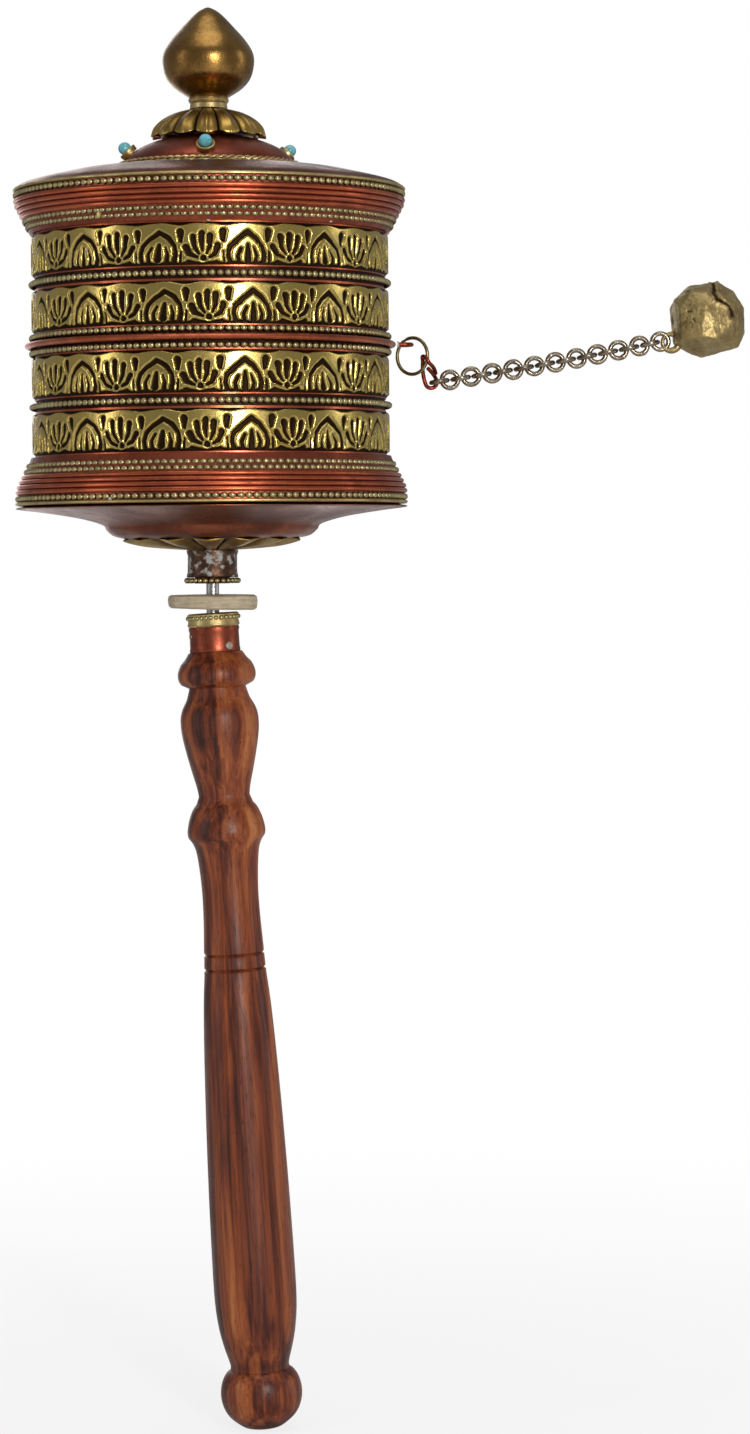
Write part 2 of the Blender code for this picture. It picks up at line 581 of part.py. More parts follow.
def make_weight(drum_axis, pivot):
    """A cast block with its corners and edges cut off, and the cast lug that the last link holds."""
    pull = rise_direction(LUG_RISE)
    lug_middle = pull * (LINK_PITCH / 2 + LUG_RADIUS - LINK_RADIUS)
    into = rise_direction(WEIGHT_RISE)
    block_middle = lug_middle + into * (WEIGHT_SIZE.x / 2 + LUG_RADIUS * 0.62)
    bm = bmesh.new()
    turn = Matrix.Rotation(-math.radians(WEIGHT_RISE), 4, "Y") @ Matrix.Rotation(math.radians(12.0), 4, "X")
    bmesh.ops.create_cube(bm, size=1.0, matrix=Matrix.Diagonal((*WEIGHT_SIZE, 1.0)))
    bmesh.ops.transform(bm, verts=bm.verts, matrix=Matrix.Translation(block_middle) @ turn)
    weight = object_from_bmesh("weight", bm)
    weight.location = pivot
    chamfer = weight.modifiers.new("cut_corners", "BEVEL")
    chamfer.width = WEIGHT_CHAMFER
    chamfer.segments = 1
    chamfer.limit_method = "NONE"
    lug = bpy.data.objects.new("weight_lug", torus_mesh("weight_lug", LUG_RADIUS, LUG_WIRE, 16, 6))
    bpy.context.scene.collection.objects.link(lug)
    lug.location = pivot + lug_middle
    lug.rotation_euler = (math.pi / 2, -math.radians(LUG_RISE), 0.0)
    lug.parent = drum_axis
    lug.hide_render = True
    lug.display_type = "WIRE"
    join = weight.modifiers.new("lug", "BOOLEAN")
    join.operation = "UNION"
    join.solver = "EXACT"
    join.object = lug
    finish_object(weight, "cast_brass", drum_axis)


def make_prayer_wheel():
    clear_scene()
    handle_axis = new_empty("handle_axis", (0, 0, 0), (0.0, -HANDLE_LEAN, 0.0))
    meeting = (-GRIP_DEPTH * math.sin(HANDLE_LEAN), 0.0, GRIP_DEPTH * math.cos(HANDLE_LEAN))
    drum_axis = new_empty("drum_axis", meeting)
    bpy.context.view_layer.update()
    make_handle(handle_axis)
    make_spindle(handle_axis.matrix_world, drum_axis)
    make_finial(drum_axis)
    make_washer(drum_axis)
    make_drum_wall(drum_axis)
    make_ends(drum_axis)
    make_crown(drum_axis)
    make_axle(drum_axis)
    make_eye_and_ring(drum_axis)
    make_lashing(drum_axis)
    make_chain(drum_axis)


make_prayer_wheel()
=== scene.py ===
# %% [markdown]
# # A hand-held prayer wheel
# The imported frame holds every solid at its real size. This lesson dresses it: each piece is rebuilt as a fine
# mesh on the same axis and in the same box, and then it gets a finish made of shader nodes.
# Another way is to subdivide the plain solids, but turned and beaded work is easier to write as formulas.

# %% Load the frame
import json
import math
import random

import bmesh
import bpy
from mathutils import Matrix, Vector, noise


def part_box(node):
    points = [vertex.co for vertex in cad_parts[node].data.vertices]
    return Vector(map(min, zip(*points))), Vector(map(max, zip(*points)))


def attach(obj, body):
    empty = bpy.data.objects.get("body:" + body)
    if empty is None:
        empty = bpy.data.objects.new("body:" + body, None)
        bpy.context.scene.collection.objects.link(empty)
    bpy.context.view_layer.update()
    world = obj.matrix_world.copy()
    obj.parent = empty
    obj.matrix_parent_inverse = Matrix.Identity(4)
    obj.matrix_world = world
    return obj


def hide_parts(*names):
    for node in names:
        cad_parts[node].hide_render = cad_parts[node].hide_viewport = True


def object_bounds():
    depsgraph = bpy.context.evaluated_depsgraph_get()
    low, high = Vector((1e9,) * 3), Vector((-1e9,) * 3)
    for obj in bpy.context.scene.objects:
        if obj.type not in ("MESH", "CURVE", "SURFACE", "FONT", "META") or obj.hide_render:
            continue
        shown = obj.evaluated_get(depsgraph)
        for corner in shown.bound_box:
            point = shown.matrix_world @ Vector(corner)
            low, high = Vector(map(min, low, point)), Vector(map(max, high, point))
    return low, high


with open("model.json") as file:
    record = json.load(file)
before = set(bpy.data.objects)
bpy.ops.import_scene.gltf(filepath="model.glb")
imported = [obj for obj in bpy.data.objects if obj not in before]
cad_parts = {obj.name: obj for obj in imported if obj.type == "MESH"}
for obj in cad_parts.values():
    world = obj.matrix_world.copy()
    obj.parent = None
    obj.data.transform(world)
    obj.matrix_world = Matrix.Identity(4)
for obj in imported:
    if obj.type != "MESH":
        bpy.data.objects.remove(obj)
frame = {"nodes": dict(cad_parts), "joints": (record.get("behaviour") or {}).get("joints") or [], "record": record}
cad_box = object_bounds()
joints = {joint["name"]: joint for joint in frame["joints"]}
mounts = {mount["name"]: mount for mount in frame["record"]["mounts"]}
MM = 0.001
TAU = math.tau
SOLDERED = 0.28 * MM                # the solids keep this much apart, and solder closes it

# %% [markdown]
# Shader maths reads best as ordinary arithmetic. This small class wraps one socket, and each operator adds a
# Math node. Drawing the graph by hand in the Shader Editor gives the same nodes, only slower to read.


# %% Shader arithmetic
class Value:
    """One output socket that can be added, multiplied and compared like a number."""

    def __init__(self, finish, socket):
        self.finish = finish
        self.socket = socket

    def math(self, operation, first, second=None):
        sockets = {0: first} if second is None else {0: first, 1: second}
        return self.finish.node("ShaderNodeMath", {"operation": operation}, sockets)

    def __add__(self, other):
        return self.math("ADD", self, other)

    def __radd__(self, other):
        return self.math("ADD", other, self)

    def __sub__(self, other):
        return self.math("SUBTRACT", self, other)

    def __rsub__(self, other):
        return self.math("SUBTRACT", other, self)

    def __mul__(self, other):
        return self.math("MULTIPLY", self, other)

    def __rmul__(self, other):
        return self.math("MULTIPLY", other, self)

    def __pow__(self, other):
        return self.math("POWER", self, other)

    def band(self, low, high):
        """0 below low, 1 above high, and a smooth step in between."""
        settings = {"interpolation_type": "SMOOTHSTEP"}
        return self.finish.node("ShaderNodeMapRange", settings, {0: self, 1: low, 2: high, 3: 0.0, 4: 1.0})


class Finish:
    """A material whose nodes are made by calls."""

    def __init__(self, name):
        self.material = bpy.data.materials.new(name)
        self.material.use_nodes = True
        self.tree = self.material.node_tree
        self.shader = self.tree.nodes["Principled BSDF"]
        place = self.node("ShaderNodeTexCoord", {}, {}, "Object")
        self.place = self.node("ShaderNodeVectorMath", {"operation": "SCALE"}, {0: place, "Scale": 1000.0})

    def link(self, socket, value):
        if isinstance(value, Value):
            self.tree.links.new(value.socket, socket)
        elif isinstance(value, tuple) and len(value) == 3 and socket.type == "RGBA":
            socket.default_value = (*value, 1.0)
        else:
            socket.default_value = value

    def node(self, kind, settings, sockets, output=0):
        made = self.tree.nodes.new(kind)
        for name, value in settings.items():
            if name == "stops":
                ramp = made.color_ramp
                while len(ramp.elements) < len(value):
                    ramp.elements.new(1.0)
                for element, (position, color) in zip(ramp.elements, value):
                    element.position = position
                    element.color = (*color, 1.0)
            else:
                setattr(made, name, value)
        for name, value in sockets.items():
            self.link(made.inputs[name], value)
        return Value(self, made.outputs[output])

    def stretch(self, scale, turn=(0.0, 0.0, 0.0)):
        """The place in millimetres, turned and then scaled along each axis."""
        turned_place = self.node("ShaderNodeMapping", {}, {"Vector": self.place, "Rotation": turn})
        return self.node("ShaderNodeVectorMath", {"operation": "MULTIPLY"}, {0: turned_place, 1: scale})

    def noise(self, scale, detail=3.0, roughness=0.55, place=None, distortion=0.0):
        sockets = {"Vector": place or self.place, "Scale": scale, "Detail": detail, "Roughness": roughness,
                   "Distortion": distortion}
        return self.node("ShaderNodeTexNoise", {}, sockets)

    def mix(self, factor, first, second, blend="MIX"):
        settings = {"data_type": "RGBA", "blend_type": blend}
        return self.node("ShaderNodeMix", settings, {0: factor, 6: first, 7: second}, 2)

    def attribute(self, name):
        return self.node("ShaderNodeAttribute", {"attribute_name": name}, {}, "Fac")

    def bump(self, height, distance, strength=1.0):
        sockets = {"Height": height, "Distance": distance, "Strength": strength}
        return self.node("ShaderNodeBump", {}, sockets)

    def surface(self, **sockets):
        names = {"color": "Base Color", "roughness": "Roughness", "metallic": "Metallic", "normal": "Normal",
                 "coat": "Coat Weight", "coat_roughness": "Coat Roughness"}
        for name, value in sockets.items():
            self.link(self.shader.inputs[names[name]], value)
        return self.material


# %% [markdown]
# Brass and copper that have been handled for years are never one colour. A thin brown or green film lies in
# patches, and dirt sits in small pits. One function makes them all from three colours; an attribute called relief
# says how high a point stands, where the mesh stores one, and its low places are darkened as painted shade.


# %% Aged metal
def aged_metal(name, bright, dull, grime_and_shade, rub=0.5, roughness=0.32, grain=0.02, relief=False, patches=0.16, salts=0.0):
    finish = Finish(name)
    cloud = finish.noise(patches, 5.0, 0.6)
    speck = finish.noise(1.7, 4.0, 0.7)
    film = (cloud * 0.75 + speck * 0.25).band(rub - 0.14, rub + 0.16)
    color = finish.mix(film, bright, dull)
    pits = speck.band(0.62, 0.72) * 0.55
    color = finish.mix(pits, color, grime_and_shade)
    shine = roughness + film * 0.16 + pits * 0.3
    height = speck * 0.6 + cloud * 0.4
    # Painted shade: where the relief attribute is low, the colour goes towards the dark third colour and the surface
    # gets rougher.
    if relief:
        high = finish.attribute("relief")
        hollow_shade = 1.0 - (high + (speck - 0.5) * 0.22).band(0.18, 0.72)
        color = finish.mix(hollow_shade, color, grime_and_shade)
        shine = shine + hollow_shade * 0.3
    scratches = finish.noise(1.0, 2.0, 0.5, finish.stretch((3.2, 3.2, 0.25)))
    normal = finish.bump(height + scratches * 0.35, grain * MM)
    metallic = 1.0
    if salts:
        crust = finish.noise(0.5, 4.0, 0.6).band(0.70 - salts * 0.4, 0.78 - salts * 0.4)
        color = finish.mix(crust, color, (0.40, 0.40, 0.38))
        shine = shine + crust * 0.3
        metallic = 1.0 - crust * 0.8
    return finish.surface(color=color, roughness=shine, metallic=metallic, normal=normal)


relief_brass = aged_metal("relief_brass", (0.56, 0.41, 0.12), (0.33, 0.27, 0.09), (0.022, 0.012, 0.006),
                          rub=0.56, roughness=0.21, grain=0.03, relief=True)
lotus_brass = aged_metal("lotus_brass", (0.46, 0.29, 0.075), (0.20, 0.125, 0.035), (0.022, 0.012, 0.006),
                         rub=0.5, roughness=0.3, grain=0.04, relief=True)
bead_brass = aged_metal("bead_brass", (0.50, 0.42, 0.21), (0.30, 0.25, 0.12), (0.035, 0.020, 0.010),
                        rub=0.5, roughness=0.3, grain=0.03, relief=True)
rim_brass = aged_metal("rim_brass", (0.56, 0.45, 0.20), (0.36, 0.24, 0.11), (0.06, 0.035, 0.015),
                       rub=0.52, roughness=0.36, grain=0.05, patches=0.3)
ridge_copper = aged_metal("ridge_copper", (0.50, 0.125, 0.058), (0.26, 0.062, 0.032), (0.035, 0.010, 0.006),
                          rub=0.54, roughness=0.28, grain=0.03, relief=True)
plain_copper = aged_metal("plain_copper", (0.36, 0.085, 0.042), (0.17, 0.042, 0.026), (0.04, 0.014, 0.009),
                          rub=0.48, roughness=0.3, grain=0.05, patches=0.11)
cover_copper = aged_metal("cover_copper", (0.29, 0.088, 0.042), (0.12, 0.038, 0.022), (0.04, 0.016, 0.010),
                          rub=0.48, roughness=0.26, grain=0.09, patches=0.09)
ground_copper = aged_metal("ground_copper", (0.055, 0.022, 0.014), (0.03, 0.012, 0.008), (0.01, 0.005, 0.004),
                           rub=0.5, roughness=0.5, grain=0.08)
finial_bronze = aged_metal("finial_bronze", (0.33, 0.185, 0.052), (0.15, 0.078, 0.024), (0.04, 0.020, 0.009),
                           rub=0.5, roughness=0.22, grain=0.05, patches=0.13)
tarnished = aged_metal("tarnished_ferrule", (0.22, 0.13, 0.09), (0.07, 0.036, 0.024), (0.016, 0.009, 0.006),
                       rub=0.44, roughness=0.30, grain=0.10, patches=0.34, salts=0.42)
chain_metal = aged_metal("chain_brass", (0.36, 0.31, 0.23), (0.17, 0.125, 0.09), (0.05, 0.030, 0.020),
                         rub=0.5, roughness=0.17, grain=0.03, patches=0.5)
ring_metal = aged_metal("ring_brass", (0.36, 0.29, 0.15), (0.17, 0.12, 0.055), (0.05, 0.03, 0.014),
                        rub=0.5, roughness=0.3, grain=0.03, patches=0.5)
lashing_copper = aged_metal("lashing_copper", (0.29, 0.050, 0.024), (0.15, 0.028, 0.015), (0.06, 0.014, 0.009),
                            rub=0.55, roughness=0.33, grain=0.03, patches=0.5)
cast_brass = aged_metal("cast_brass", (0.46, 0.35, 0.15), (0.27, 0.195, 0.085), (0.06, 0.036, 0.016),
                        rub=0.47, roughness=0.36, grain=0.16, relief=True, patches=0.22)
lug_brass = aged_metal("lug_brass", (0.40, 0.30, 0.13), (0.22, 0.155, 0.07), (0.05, 0.03, 0.014),
                       rub=0.5, roughness=0.34, grain=0.08, patches=0.4)
print("metals ready")

# %% [markdown]
# Rosewood is turned from one billet, so its growth rings run along the handle and show as dark and orange
# streaks that bend a little. Noise stretched along the grain gives the streaks; a finer one gives the pores.


# %% Rosewood, bone, turquoise and steel
def rosewood(lean):
    finish = Finish("rosewood")
    along = (0.0, lean, 0.0)
    broad = finish.noise(1.0, 3.0, 0.5, finish.stretch((0.26, 0.26, 0.008), along), 1.2)
    streak = finish.noise(1.0, 4.0, 0.65, finish.stretch((0.95, 0.95, 0.022), along), 0.8)
    pores = finish.noise(1.0, 2.0, 0.6, finish.stretch((5.5, 5.5, 0.30), along))
    tone = broad * 0.62 + streak * 0.38
    stops = [(0.36, (0.032, 0.007, 0.004)), (0.44, (0.100, 0.020, 0.008)), (0.51, (0.200, 0.044, 0.014)),
             (0.59, (0.310, 0.082, 0.022)), (0.69, (0.450, 0.155, 0.045))]
    wood = finish.node("ShaderNodeValToRGB", {"stops": stops}, {"Fac": tone}, "Color")
    pore = pores.band(0.60, 0.70)
    color = finish.mix(pore * 0.6, wood, (0.022, 0.009, 0.007))
    worn = finish.noise(0.08, 3.0, 0.5)
    normal = finish.bump(streak * 0.5 - pore * 0.8, 0.05 * MM)
    gloss = 0.34 + pore * 0.25 + worn.band(0.4, 0.7) * 0.12
    finish.shader.inputs["Specular IOR Level"].default_value = 0.30
    return finish.surface(color=color, roughness=gloss, normal=normal)


def bone():
    finish = Finish("bone")
    layers = finish.noise(1.0, 4.0, 0.6, finish.stretch((0.16, 0.16, 2.2)))
    spots = finish.noise(0.5, 4.0, 0.65)
    stops = [(0.32, (0.30, 0.22, 0.13)), (0.5, (0.47, 0.39, 0.26)), (0.68, (0.62, 0.55, 0.41))]
    color = finish.node("ShaderNodeValToRGB", {"stops": stops}, {"Fac": layers * 0.6 + spots * 0.4}, "Color")
    normal = finish.bump(layers + spots * 0.6, 0.10 * MM)
    return finish.surface(color=color, roughness=0.52 + spots * 0.15, normal=normal)


def turquoise():
    finish = Finish("turquoise")
    cloud = finish.noise(0.9, 4.0, 0.6)
    pits = finish.noise(2.6, 2.0, 0.5).band(0.66, 0.70)
    color = finish.mix(cloud.band(0.35, 0.65), (0.10, 0.42, 0.50), (0.22, 0.58, 0.66))
    color = finish.mix(pits, color, (0.035, 0.07, 0.085))
    normal = finish.bump(cloud - pits, 0.05 * MM)
    return finish.surface(color=color, roughness=0.26 + pits * 0.4, normal=normal)


def drawn_steel():
    finish = Finish("drawn_steel")
    draw = finish.noise(1.0, 3.0, 0.6, finish.stretch((6.0, 6.0, 0.15)))
    color = finish.mix(draw.band(0.35, 0.65), (0.60, 0.60, 0.60), (0.38, 0.37, 0.36))
    normal = finish.bump(draw, 0.02 * MM)
    return finish.surface(color=color, roughness=0.22 + draw * 0.12, metallic=1.0, normal=normal)


def solder():
    finish = Finish("solder_and_glue")
    cloud = finish.noise(0.8, 4.0, 0.6)
    color = finish.mix(cloud.band(0.4, 0.6), (0.62, 0.60, 0.55), (0.34, 0.31, 0.27))
    return finish.surface(color=color, roughness=0.3 + cloud * 0.3, metallic=0.4,
                          normal=finish.bump(cloud, 0.1 * MM))


def rolled_paper():
    finish = Finish("rolled_paper")
    fibre = finish.noise(1.2, 4.0, 0.6)
    color = finish.mix(fibre.band(0.3, 0.7), (0.62, 0.54, 0.38), (0.50, 0.42, 0.28))
    return finish.surface(color=color, roughness=0.8 + fibre * 0.1, normal=finish.bump(fibre, 0.05 * MM))


grip_axis = Vector(mounts["grip"]["axis"]).normalized()
lean = math.atan2(-grip_axis.x, grip_axis.z)
wood_finish = rosewood(lean)
bone_finish = bone()
stone_finish = turquoise()
steel_finish = drawn_steel()
solder_finish = solder()
paper_finish = rolled_paper()
print("handle leans", round(math.degrees(lean), 2), "degrees")

# %% [markdown]
# Almost everything on the wheel is round, so one helper lays rows of points round an axis and closes them.
# It takes a function of the turn and the step along the outline, so plain turned work, beading, fluting and
# twisted wire all come from it. A Screw modifier does the plain ones too, but not the fluted ones.


# %% Building helpers
def add_object(name, bm, finish, body, smooth=40.0):
    bmesh.ops.recalc_face_normals(bm, faces=bm.faces)
    mesh = bpy.data.meshes.new(name)
    bm.to_mesh(mesh)
    bm.free()
    made = bpy.data.objects.new(name, mesh)
    bpy.context.scene.collection.objects.link(made)
    mesh.materials.append(finish)
    mesh.shade_smooth()
    mesh.set_sharp_from_angle(angle=math.radians(smooth))
    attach(made, body)
    return made


def surface_of_rows(bm, rows, closed_rows, relief=None):
    """Joins rows of points into faces. Each row is a closed loop round the axis."""
    layer = bm.verts.layers.float.new("relief") if relief else None
    made = []
    for index, row in enumerate(rows):
        line = [bm.verts.new(point) for point in row]
        if relief:
            for vert, height in zip(line, relief[index]):
                vert[layer] = height
        made.append(line)
    pairs = list(zip(made, made[1:]))
    if closed_rows:
        pairs.append((made[-1], made[0]))
    for lower, upper in pairs:
        count = len(lower)
        for step in range(count):
            after = (step + 1) % count
            bm.faces.new((lower[step], lower[after], upper[after], upper[step]))
    if not closed_rows:
        bm.faces.new(made[0][::-1])
        bm.faces.new(made[-1])


def turned(name, outline, finish, body, sides=120, closed=True, centre=Vector((0, 0, 0)), tilt=0.0,
           wobble=0.0, relief=None):
    """A turned piece from (radius, height) points. The axis passes through centre, tilted about Y."""
    turn = Matrix.Rotation(tilt, 3, "Y")
    rows = []
    for radius, height in outline:
        row = []
        for step in range(sides):
            angle = TAU * step / sides
            sway = 1.0 - wobble * (0.5 + 0.5 * noise.noise(Vector((math.cos(angle), math.sin(angle), height * 90))))
            point = Vector((radius * sway * math.cos(angle), radius * sway * math.sin(angle), height))
            row.append(centre + turn @ point)
        rows.append(row)
    heights = [[value] * sides for value in relief] if relief else None
    bm = bmesh.new()
    surface_of_rows(bm, rows, closed, heights)
    return add_object(name, bm, finish, body)


def smooth_through(points, steps):
    """A Catmull-Rom curve through (radius, height) points."""
    padded = [points[0], *points, points[-1]]
    curve = []
    for index in range(len(points) - 1):
        before, start, end, after = (Vector(p) for p in padded[index:index + 4])
        for step in range(steps):
            t = step / steps
            bend = (2 * start + (end - before) * t + (2 * before - 5 * start + 4 * end - after) * t ** 2
                    + (3 * start - before - 3 * end + after) * t ** 3)
            curve.append(tuple(bend / 2))
    curve.append(tuple(points[-1]))
    return curve


def node_span(node):
    """Largest radius about the drum's axis, bottom and top of a solid on the drum."""
    low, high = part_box(node)
    return (high.y - low.y) / 2, low.z, high.z


shell_low, shell_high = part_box("drum_shell")
drum_axis = Vector(((shell_low.x + shell_high.x) / 2, (shell_low.y + shell_high.y) / 2, 0.0))
ground_radius = (shell_high.y - shell_low.y) / 2
meeting = Vector(joints["drum_spin"]["pos_m"])
print("ground radius", round(ground_radius / MM, 2), "mm, axis at", tuple(round(x / MM, 2) for x in drum_axis))

# %% [markdown]
# The handle is turned between centres: a bell, an urn, a ring, a long swelling grip with two cut grooves, and a
# ball. Each stretch between two sharp corners is a smooth curve through a few measured points.

# %% Handle
butt = Vector(mounts["butt"]["pos_m"])
foot_height = -butt.length
TURNED_LENGTH = 145.1 * MM
shoulder = foot_height + TURNED_LENGTH
HANDLE_STRETCHES = [
    [(5.0, 0.0), (5.8, 1.2), (6.6, 2.1), (7.15, 3.3), (7.3, 4.3), (7.15, 5.2), (6.7, 5.9)],
    [(5.3, 6.6), (5.55, 7.6), (6.0, 8.9), (6.8, 10.4), (7.25, 12.0), (7.3, 14.0), (7.05, 16.2), (6.4, 19.4),
     (5.7, 22.4), (5.0, 25.2), (4.75, 26.9)],
    [(5.3, 28.3), (6.0, 29.2), (6.65, 30.6), (7.1, 32.2), (7.3, 33.6), (7.15, 34.5)],
    [(6.5, 35.4), (5.95, 36.8), (5.6, 39.2), (5.35, 42.6), (5.25, 46.0), (5.35, 50.5), (5.6, 55.6)],
    [(5.65, 57.4), (5.72, 58.4)],
    [(5.8, 60.2), (6.3, 66.0), (6.8, 76.0), (7.25, 89.0), (7.55, 102.0), (7.7, 114.0), (7.65, 121.5),
     (7.2, 126.2), (6.5, 129.6), (5.7, 132.3), (5.45, 133.3)],
    [(5.5, 134.1), (6.3, 134.7), (7.0, 135.8), (7.45, 137.2), (7.6, 138.6), (7.45, 140.1), (6.9, 141.7),
     (6.1, 142.9), (5.0, 143.9), (3.7, 144.8), (2.8, 145.1)],
]
GROOVE_DEPTH = 0.32
outline = [(3.7 * MM, shoulder + 6.0 * MM), (3.7 * MM, shoulder)]
for number, stretch in enumerate(HANDLE_STRETCHES):
    if number in (4, 5):
        last_radius, last_depth = HANDLE_STRETCHES[number - 1][-1]
        first_radius, first_depth = stretch[0]
        middle = (last_depth + first_depth) / 2
        for radius, depth in ((last_radius, middle - 0.35), (last_radius - GROOVE_DEPTH, middle),
                              (first_radius, middle + 0.35)):
            outline.append((radius * MM, shoulder - depth * MM))
    outline += [(radius * MM, shoulder - depth * MM) for radius, depth in smooth_through(stretch, 3)]
handle = turned("turned_handle", outline, wood_finish, "handle", 96, closed=False, tilt=-lean)
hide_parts("handle")
print("handle outline has", len(outline), "points")

# %% [markdown]
# The copper ferrule stops the tenon from splitting. It is a plain tube with a slightly rolled edge, held by one
# small nail, and a smear of old glue shows beside it. The collar above is a strip of beading bent to a ring.


# %% Ferrule, nail and collar
def on_handle(depth_below_meeting):
    """A height along the handle's own axis, from a distance below the point where the axes meet."""
    return meeting.length - depth_below_meeting


COLLAR_HEIGHT = 2.6 * MM
ferrule_top = on_handle(COLLAR_HEIGHT)
ferrule_foot = shoulder + 0.02 * MM
ferrule_radius = 4.8 * MM
ferrule_outline = [
    (3.8 * MM, ferrule_foot), (ferrule_radius - 0.1 * MM, ferrule_foot), (ferrule_radius, ferrule_foot + 0.3 * MM),
    (ferrule_radius - 0.12 * MM, ferrule_foot + 0.9 * MM), (ferrule_radius - 0.15 * MM, ferrule_top - 0.9 * MM),
    (ferrule_radius, ferrule_top - 0.3 * MM), (ferrule_radius - 0.1 * MM, ferrule_top), (3.8 * MM, ferrule_top),
]
ferrule = turned("neck_ferrule", ferrule_outline, plain_copper, "handle", 96, tilt=-lean, wobble=0.012)
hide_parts("handle_ferrule")
handle_turn = Matrix.Rotation(-lean, 3, "Y")


def dome(name, centre, facing, radius, height, finish, body, sides=20, rings=6):
    """A rounded head, such as a nail's or a drop of glue, standing on a point and facing outwards."""
    turn = facing.to_track_quat("Z", "Y").to_matrix()
    rows = []
    for step in range(rings):
        lift = math.pi / 2 * step / rings
        reach = radius * math.cos(lift)
        rows.append([centre + turn @ Vector((reach * math.cos(TAU * side / sides), reach * math.sin(TAU * side / sides),
                                             height * math.sin(lift))) for side in range(sides)])
    bm = bmesh.new()
    surface_of_rows(bm, rows, False)
    return add_object(name, bm, finish, body)


def on_ferrule(angle, share, lift=0.0):
    around = Vector((math.cos(angle), math.sin(angle), 0.0))
    height = ferrule_foot + (ferrule_top - ferrule_foot) * share
    return handle_turn @ (around * (ferrule_radius - 0.2 * MM + lift) + Vector((0, 0, height))), handle_turn @ around


place, facing = on_ferrule(math.radians(-158), 0.66)
dome("neck_nail", place, facing, 0.55 * MM, 0.32 * MM, ring_metal, "handle")
place, facing = on_ferrule(math.radians(-52), 0.22)
dome("glue_spot", place, facing, 0.8 * MM, 0.3 * MM, solder_finish, "handle", 14, 4)


def bead_ring(name, radius, height, bead, pitch, finish, body, centre=None, tilt=0.0, seed=1, squash=1.0):
    """Beaded wire: little balls, struck side by side on one wire, none quite like the next."""
    draw = random.Random(seed)
    count = round(TAU * radius / pitch)
    turn = Matrix.Rotation(tilt, 3, "Y")
    middle = drum_axis if centre is None else centre
    bm = bmesh.new()
    for number in range(count):
        angle = TAU * (number + draw.uniform(-0.07, 0.07)) / count
        size = bead * draw.uniform(0.93, 1.0)
        place = Vector((radius * math.cos(angle), radius * math.sin(angle), height))
        shape = Matrix.Rotation(angle, 4, "Z") @ Matrix.Diagonal((size * squash, size, size, 1.0))
        spot = Matrix.Translation(middle) @ turn.to_4x4() @ Matrix.Translation(place) @ shape
        bmesh.ops.create_icosphere(bm, subdivisions=2, radius=1.0, matrix=spot)
    # Painted shade: the relief darkens the inner half of each bead, towards the collar.
    layer = bm.verts.layers.float.new("relief")
    for vert in bm.verts:
        reach = (turn.inverted() @ (vert.co - middle)).xy.length - radius
        vert[layer] = min(max(0.5 + 0.6 * reach / bead, 0.0), 1.0)
    return add_object(name, bm, finish, body)


collar_top = on_handle(0.0)
collar_middle = collar_top - COLLAR_HEIGHT / 2
collar_outline = [
    (3.8 * MM, collar_top), (4.5 * MM, collar_top), (4.85 * MM, collar_top - 0.25 * MM),
    (4.7 * MM, collar_middle), (4.9 * MM, collar_top - COLLAR_HEIGHT + 0.35 * MM),
    (4.6 * MM, collar_top - COLLAR_HEIGHT), (3.8 * MM, collar_top - COLLAR_HEIGHT),
]
collar = turned("neck_collar", collar_outline, rim_brass, "handle", 96, tilt=-lean)
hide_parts("handle_collar")
collar_beads = bead_ring("neck_collar_beads", 4.72 * MM, collar_top - 0.85 * MM, 0.46 * MM, 0.95 * MM, bead_brass,
                         "handle", Vector((0, 0, 0)), -lean, 3)
print("ferrule from", round(ferrule_foot / MM, 1), "to", round(ferrule_top / MM, 1), "mm along the handle")

# %% [markdown]
# The spindle is one bright steel rod. Only a short stretch of it shows, between the washer and the drum. The
# washer is hand cut from bone or shell, so its rim is a little uneven and its edges are rounded by wear.

# %% Spindle and washer
spindle_low, spindle_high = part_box("spindle")
rod_radius = (spindle_high.y - spindle_low.y) / 2
rod = turned("spindle_rod", [(rod_radius, spindle_high.z), (rod_radius, meeting.z)], steel_finish, "handle", 32,
             closed=False, centre=drum_axis)
rod_foot = turned("spindle_foot", [(rod_radius, meeting.length), (rod_radius, meeting.length - 38.0 * MM)],
                  steel_finish, "handle", 32, closed=False, tilt=-lean)
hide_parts("spindle")
washer_radius, washer_low, washer_high = node_span("thrust_washer")
soft = 0.45 * MM
WEDGE = 0.5 * MM
washer_outline = [
    (rod_radius + 0.3 * MM, washer_high), (washer_radius * 0.6, washer_high - 0.05 * MM),
    (washer_radius - 1.4 * soft, washer_high - 0.12 * MM), (washer_radius - soft * 0.3, washer_high - soft),
    (washer_radius, washer_high - 1.2 * MM), (washer_radius - 0.05 * MM, washer_low + 1.1 * MM),
    (washer_radius - soft * 0.4, washer_low + soft), (washer_radius - 1.5 * soft, washer_low + 0.08 * MM),
    (washer_radius * 0.6, washer_low), (rod_radius + 0.3 * MM, washer_low),
]
washer = turned("bone_washer", washer_outline, bone_finish, "washer", 90, centre=drum_axis, wobble=0.07)
for vert in washer.data.vertices:
    across_washer = (vert.co.x - drum_axis.x) / washer_radius
    thick_share = (washer_high - vert.co.z) / (washer_high - washer_low)
    vert.co.z += WEDGE * thick_share * (0.5 - 0.5 * across_washer)
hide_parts("thrust_washer")
print("washer", round(2 * washer_radius / MM, 1), "mm across")

# %% [markdown]
# The finial is a bronze bulb drawn up to a soft point, with a bright brass collar at its foot. It is spun from
# the same kind of curve as the handle.

